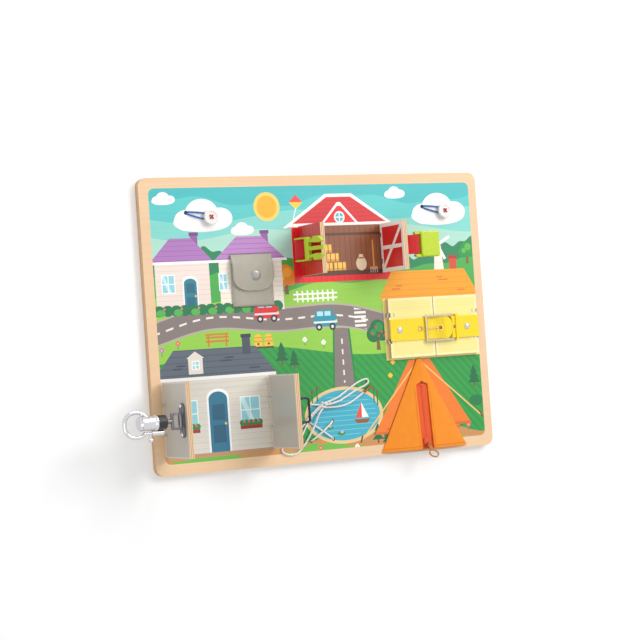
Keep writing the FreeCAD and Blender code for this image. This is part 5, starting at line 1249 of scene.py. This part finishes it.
def make_belt():
    """Yellow belt: long end with eyelets, turned-back end with the buckle."""
    leather = Finish("belt_leather", 0.4, coat=0.15)
    wear = use(leather.tree, "wear", Point=leather.point, Scale=0.5)
    leather.set("Base Color", leather.tinted(colours().belt, wear["Value"], 0.93, 1.03))
    leather.bump(wear["Height"], 0.2, 0.0002)
    wear_on("belt_tail", leather.material)
    wear_on("belt_strap", leather.material)
    thread = plain("belt_thread", paint(255, 232, 96), 0.7)
    top = FACE * 1000 + 0.3 + 5 + 1.2
    for sign in (-1, 1):
        y = 131.6 + sign * 9.9
        stitches(f"belt_seam_tail_{sign + 2}", [spot(78, y, top), spot(119, y, top)], (0, 0, 1),
            "shed_left", thread)
        stitches(f"belt_seam_strap_{sign + 2}", [spot(165, y, top + 1.25), spot(178, y, top + 1.25)],
            (0, 0, 1), "shed_right", thread)
    gold = plain("eyelet_brass", paint(222, 176, 88), 0.25, 1.0, scale=0.6)
    silver = plain("rivet_silver", paint(206, 206, 208), 0.22, 1.0, scale=0.6)
    wear_on("belt_eyelets", gold)
    wear_on("belt_rivet_left", silver)
    wear_on("belt_rivet_right", silver)
    wear_on("belt_buckle", plain("belt_frame_gold", paint(212, 196, 168), 0.2, 1.0, scale=0.6))
    wear_on("belt_prong", plain("belt_prong_gold", paint(212, 196, 168), 0.2, 1.0, scale=0.6))
    wear_on("belt_keeper", leather.material)


def make_buckle():
    lime = plain("buckle_plastic", colours().lime, 0.32, coat=0.1, low=0.96, high=1.03)
    wear_on("buckle_plug", lime)
    wear_on("buckle_socket", lime)


def make_clasp():
    chrome = plain("clasp_chrome", paint(214, 214, 216), 0.14, 1.0, scale=0.4)
    nickel = plain("clasp_nickel", paint(120, 118, 120), 0.26, 1.0, scale=0.4)
    wear_on("hung_ring", plain("ring_black", paint(54, 56, 64), 0.25, 0.7, scale=0.4))
    for node in ("clasp_hook", "clasp_gate", "clasp_rivets", "ring_rivets"):
        wear_on(node, chrome)
    for node in ("clasp_eye", "clasp_saddle", "ring_saddle"):
        wear_on(node, nickel)
    wear_on("clasp_band", plain("clasp_black", paint(38, 38, 40), 0.35))


# Floor, light and backdrop

def make_stage():
    """A plain pale floor that is white to the camera, and soft light."""
    shape = bmesh.new()
    bmesh.ops.create_grid(shape, x_segments=1, y_segments=1, size=sizes().floor_size / 2)
    bmesh.ops.translate(shape, vec=(0, 0, -0.0002), verts=shape.verts)
    mesh = bpy.data.meshes.new("floor")
    shape.to_mesh(mesh)
    shape.free()
    floor = bpy.data.objects.new("floor", mesh)
    bpy.context.scene.collection.objects.link(floor)
    material = bpy.data.materials.new("floor_white")
    material.use_nodes = True
    surface = material.node_tree.nodes["Principled BSDF"]
    surface.inputs["Base Color"].default_value = (0.92, 0.92, 0.92, 1)
    surface.inputs["Roughness"].default_value = 0.9
    surface.inputs["Specular IOR Level"].default_value = 0.1
    surface.inputs["Emission Color"].default_value = (1, 1, 1, 1)
    paper = material.node_tree
    direct = put(paper, "ShaderNodeLightPath").outputs["Is Camera Ray"]
    paper.links.new(calc(paper, "MULTIPLY", direct, 0.14), surface.inputs["Emission Strength"])
    mesh.materials.append(material)
    world = bpy.data.worlds.new("studio")
    bpy.context.scene.world = world
    world.use_nodes = True
    tree = world.node_tree
    background = tree.nodes["Background"]
    path = put(tree, "ShaderNodeLightPath")
    passed = calc(tree, "MAXIMUM", path.outputs["Is Camera Ray"], path.outputs["Is Transmission Ray"])
    seen = calc(tree, "MAXIMUM", passed, path.outputs["Is Glossy Ray"])
    background.inputs["Color"].default_value = (1, 1, 1, 1)
    tree.links.new(calc(tree, "MULTIPLY_ADD", seen, 0.48, 0.52), background.inputs["Strength"])
    lamps = (
        ("key", (1.1, 0.9, 1.5), 1.1, 21.0),
        ("fill", (-1.4, -0.5, 1.6), 1.4, 7.0),
        ("rim", (0.2, 1.5, 0.9), 0.8, 6.0),
    )
    for name, place, size, power in lamps:
        light = bpy.data.lights.new(name, "AREA")
        light.shape = "DISK"
        light.size = size
        light.energy = power
        lamp = bpy.data.objects.new(name, light)
        bpy.context.scene.collection.objects.link(lamp)
        lamp.location = place
        lamp.rotation_mode = "QUATERNION"
        lamp.rotation_quaternion = (-Vector(place)).to_track_quat("-Z", "Y")
    bpy.context.scene.view_settings.view_transform = "Standard"


# Operators, panel and registration

class BUSYBOARD_OT_camera(bpy.types.Operator):
    """Put the camera at the photograph's viewpoint"""
    bl_idname = "busy_board.camera"
    bl_label = "Camera"

    def execute(self, context):
        make_camera()
        return {"FINISHED"}


class BUSYBOARD_OT_lace(bpy.types.Operator):
    """Run the lace through its holes and tie the bow"""
    bl_idname = "busy_board.lace"
    bl_label = "Lace"

    def execute(self, context):
        make_lace()
        return {"FINISHED"}


class BUSYBOARD_OT_elastics(bpy.types.Operator):
    """Lay the two elastic loops"""
    bl_idname = "busy_board.elastics"
    bl_label = "Elastic loops"

    def execute(self, context):
        make_elastics()
        return {"FINISHED"}


class BUSYBOARD_OT_boards(bpy.types.Operator):
    """Finish both plywood layers and print the picture"""
    bl_idname = "busy_board.boards"
    bl_label = "Boards"

    def execute(self, context):
        make_boards()
        return {"FINISHED"}


class BUSYBOARD_OT_doors(bpy.types.Operator):
    """Paint the six doors and finish their hinges"""
    bl_idname = "busy_board.doors"
    bl_label = "Doors"

    def execute(self, context):
        make_doors()
        return {"FINISHED"}


class BUSYBOARD_OT_buttons(bpy.types.Operator):
    """Finish the buttons and their thread"""
    bl_idname = "busy_board.buttons"
    bl_label = "Buttons"

    def execute(self, context):
        make_buttons()
        return {"FINISHED"}


class BUSYBOARD_OT_pouch(bpy.types.Operator):
    """Sew the pouch and its flap"""
    bl_idname = "busy_board.pouch"
    bl_label = "Pouch"

    def execute(self, context):
        make_pouch()
        return {"FINISHED"}


class BUSYBOARD_OT_tent(bpy.types.Operator):
    """Stretch the tent's cloth"""
    bl_idname = "busy_board.tent"
    bl_label = "Tent"

    def execute(self, context):
        make_tent()
        return {"FINISHED"}


class BUSYBOARD_OT_zip(bpy.types.Operator):
    """Make the zip's tapes and teeth and finish its slider"""
    bl_idname = "busy_board.zip"
    bl_label = "Zip"

    def execute(self, context):
        make_zip()
        return {"FINISHED"}


class BUSYBOARD_OT_webbing(bpy.types.Operator):
    """Sew the webbing to the barn doors"""
    bl_idname = "busy_board.webbing"
    bl_label = "Webbing"

    def execute(self, context):
        make_webbing()
        return {"FINISHED"}


class BUSYBOARD_OT_buckle(bpy.types.Operator):
    """Finish the plastic buckle"""
    bl_idname = "busy_board.buckle"
    bl_label = "Side-release buckle"

    def execute(self, context):
        make_buckle()
        return {"FINISHED"}


class BUSYBOARD_OT_clasp(bpy.types.Operator):
    """Finish the clasp, the ring and their saddles"""
    bl_idname = "busy_board.clasp"
    bl_label = "Clasp and ring"

    def execute(self, context):
        make_clasp()
        return {"FINISHED"}


class BUSYBOARD_OT_belt(bpy.types.Operator):
    """Finish the belt, its buckle and its eyelets"""
    bl_idname = "busy_board.belt"
    bl_label = "Belt"

    def execute(self, context):
        make_belt()
        return {"FINISHED"}


class BUSYBOARD_OT_stage(bpy.types.Operator):
    """Lay the floor and set the light"""
    bl_idname = "busy_board.stage"
    bl_label = "Stage"

    def execute(self, context):
        make_stage()
        return {"FINISHED"}


OPERATORS = [BUSYBOARD_OT_camera, BUSYBOARD_OT_lace, BUSYBOARD_OT_elastics, BUSYBOARD_OT_boards,
    BUSYBOARD_OT_doors, BUSYBOARD_OT_buttons, BUSYBOARD_OT_pouch, BUSYBOARD_OT_tent, BUSYBOARD_OT_zip,
    BUSYBOARD_OT_webbing, BUSYBOARD_OT_buckle, BUSYBOARD_OT_clasp, BUSYBOARD_OT_belt, BUSYBOARD_OT_stage]


class BUSYBOARD_PT_panel(bpy.types.Panel):
    bl_idname = "BUSYBOARD_PT_panel"
    bl_label = "Busy board"
    bl_space_type = "VIEW_3D"
    bl_region_type = "UI"
    bl_category = "Busy board"

    def draw(self, context):
        for group in (colours(), sizes()):
            for name in group.__annotations__:
                self.layout.prop(group, name)
        for operator in OPERATORS:
            self.layout.operator(operator.bl_idname)


CLASSES = [BoardColours, BoardSizes, BUSYBOARD_PT_panel] + OPERATORS


def register():
    for made in CLASSES:
        bpy.utils.register_class(made)
    bpy.types.Scene.busy_board_colours = bpy.props.PointerProperty(type=BoardColours)
    bpy.types.Scene.busy_board_sizes = bpy.props.PointerProperty(type=BoardSizes)


def unregister():
    del bpy.types.Scene.busy_board_sizes
    del bpy.types.Scene.busy_board_colours
    for made in reversed(CLASSES):
        bpy.utils.unregister_class(made)


def main():
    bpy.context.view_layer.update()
    register()
    for operator in OPERATORS:
        getattr(bpy.ops.busy_board, operator.bl_idname.split(".")[1])()


if __name__ == "__main__":
    main()
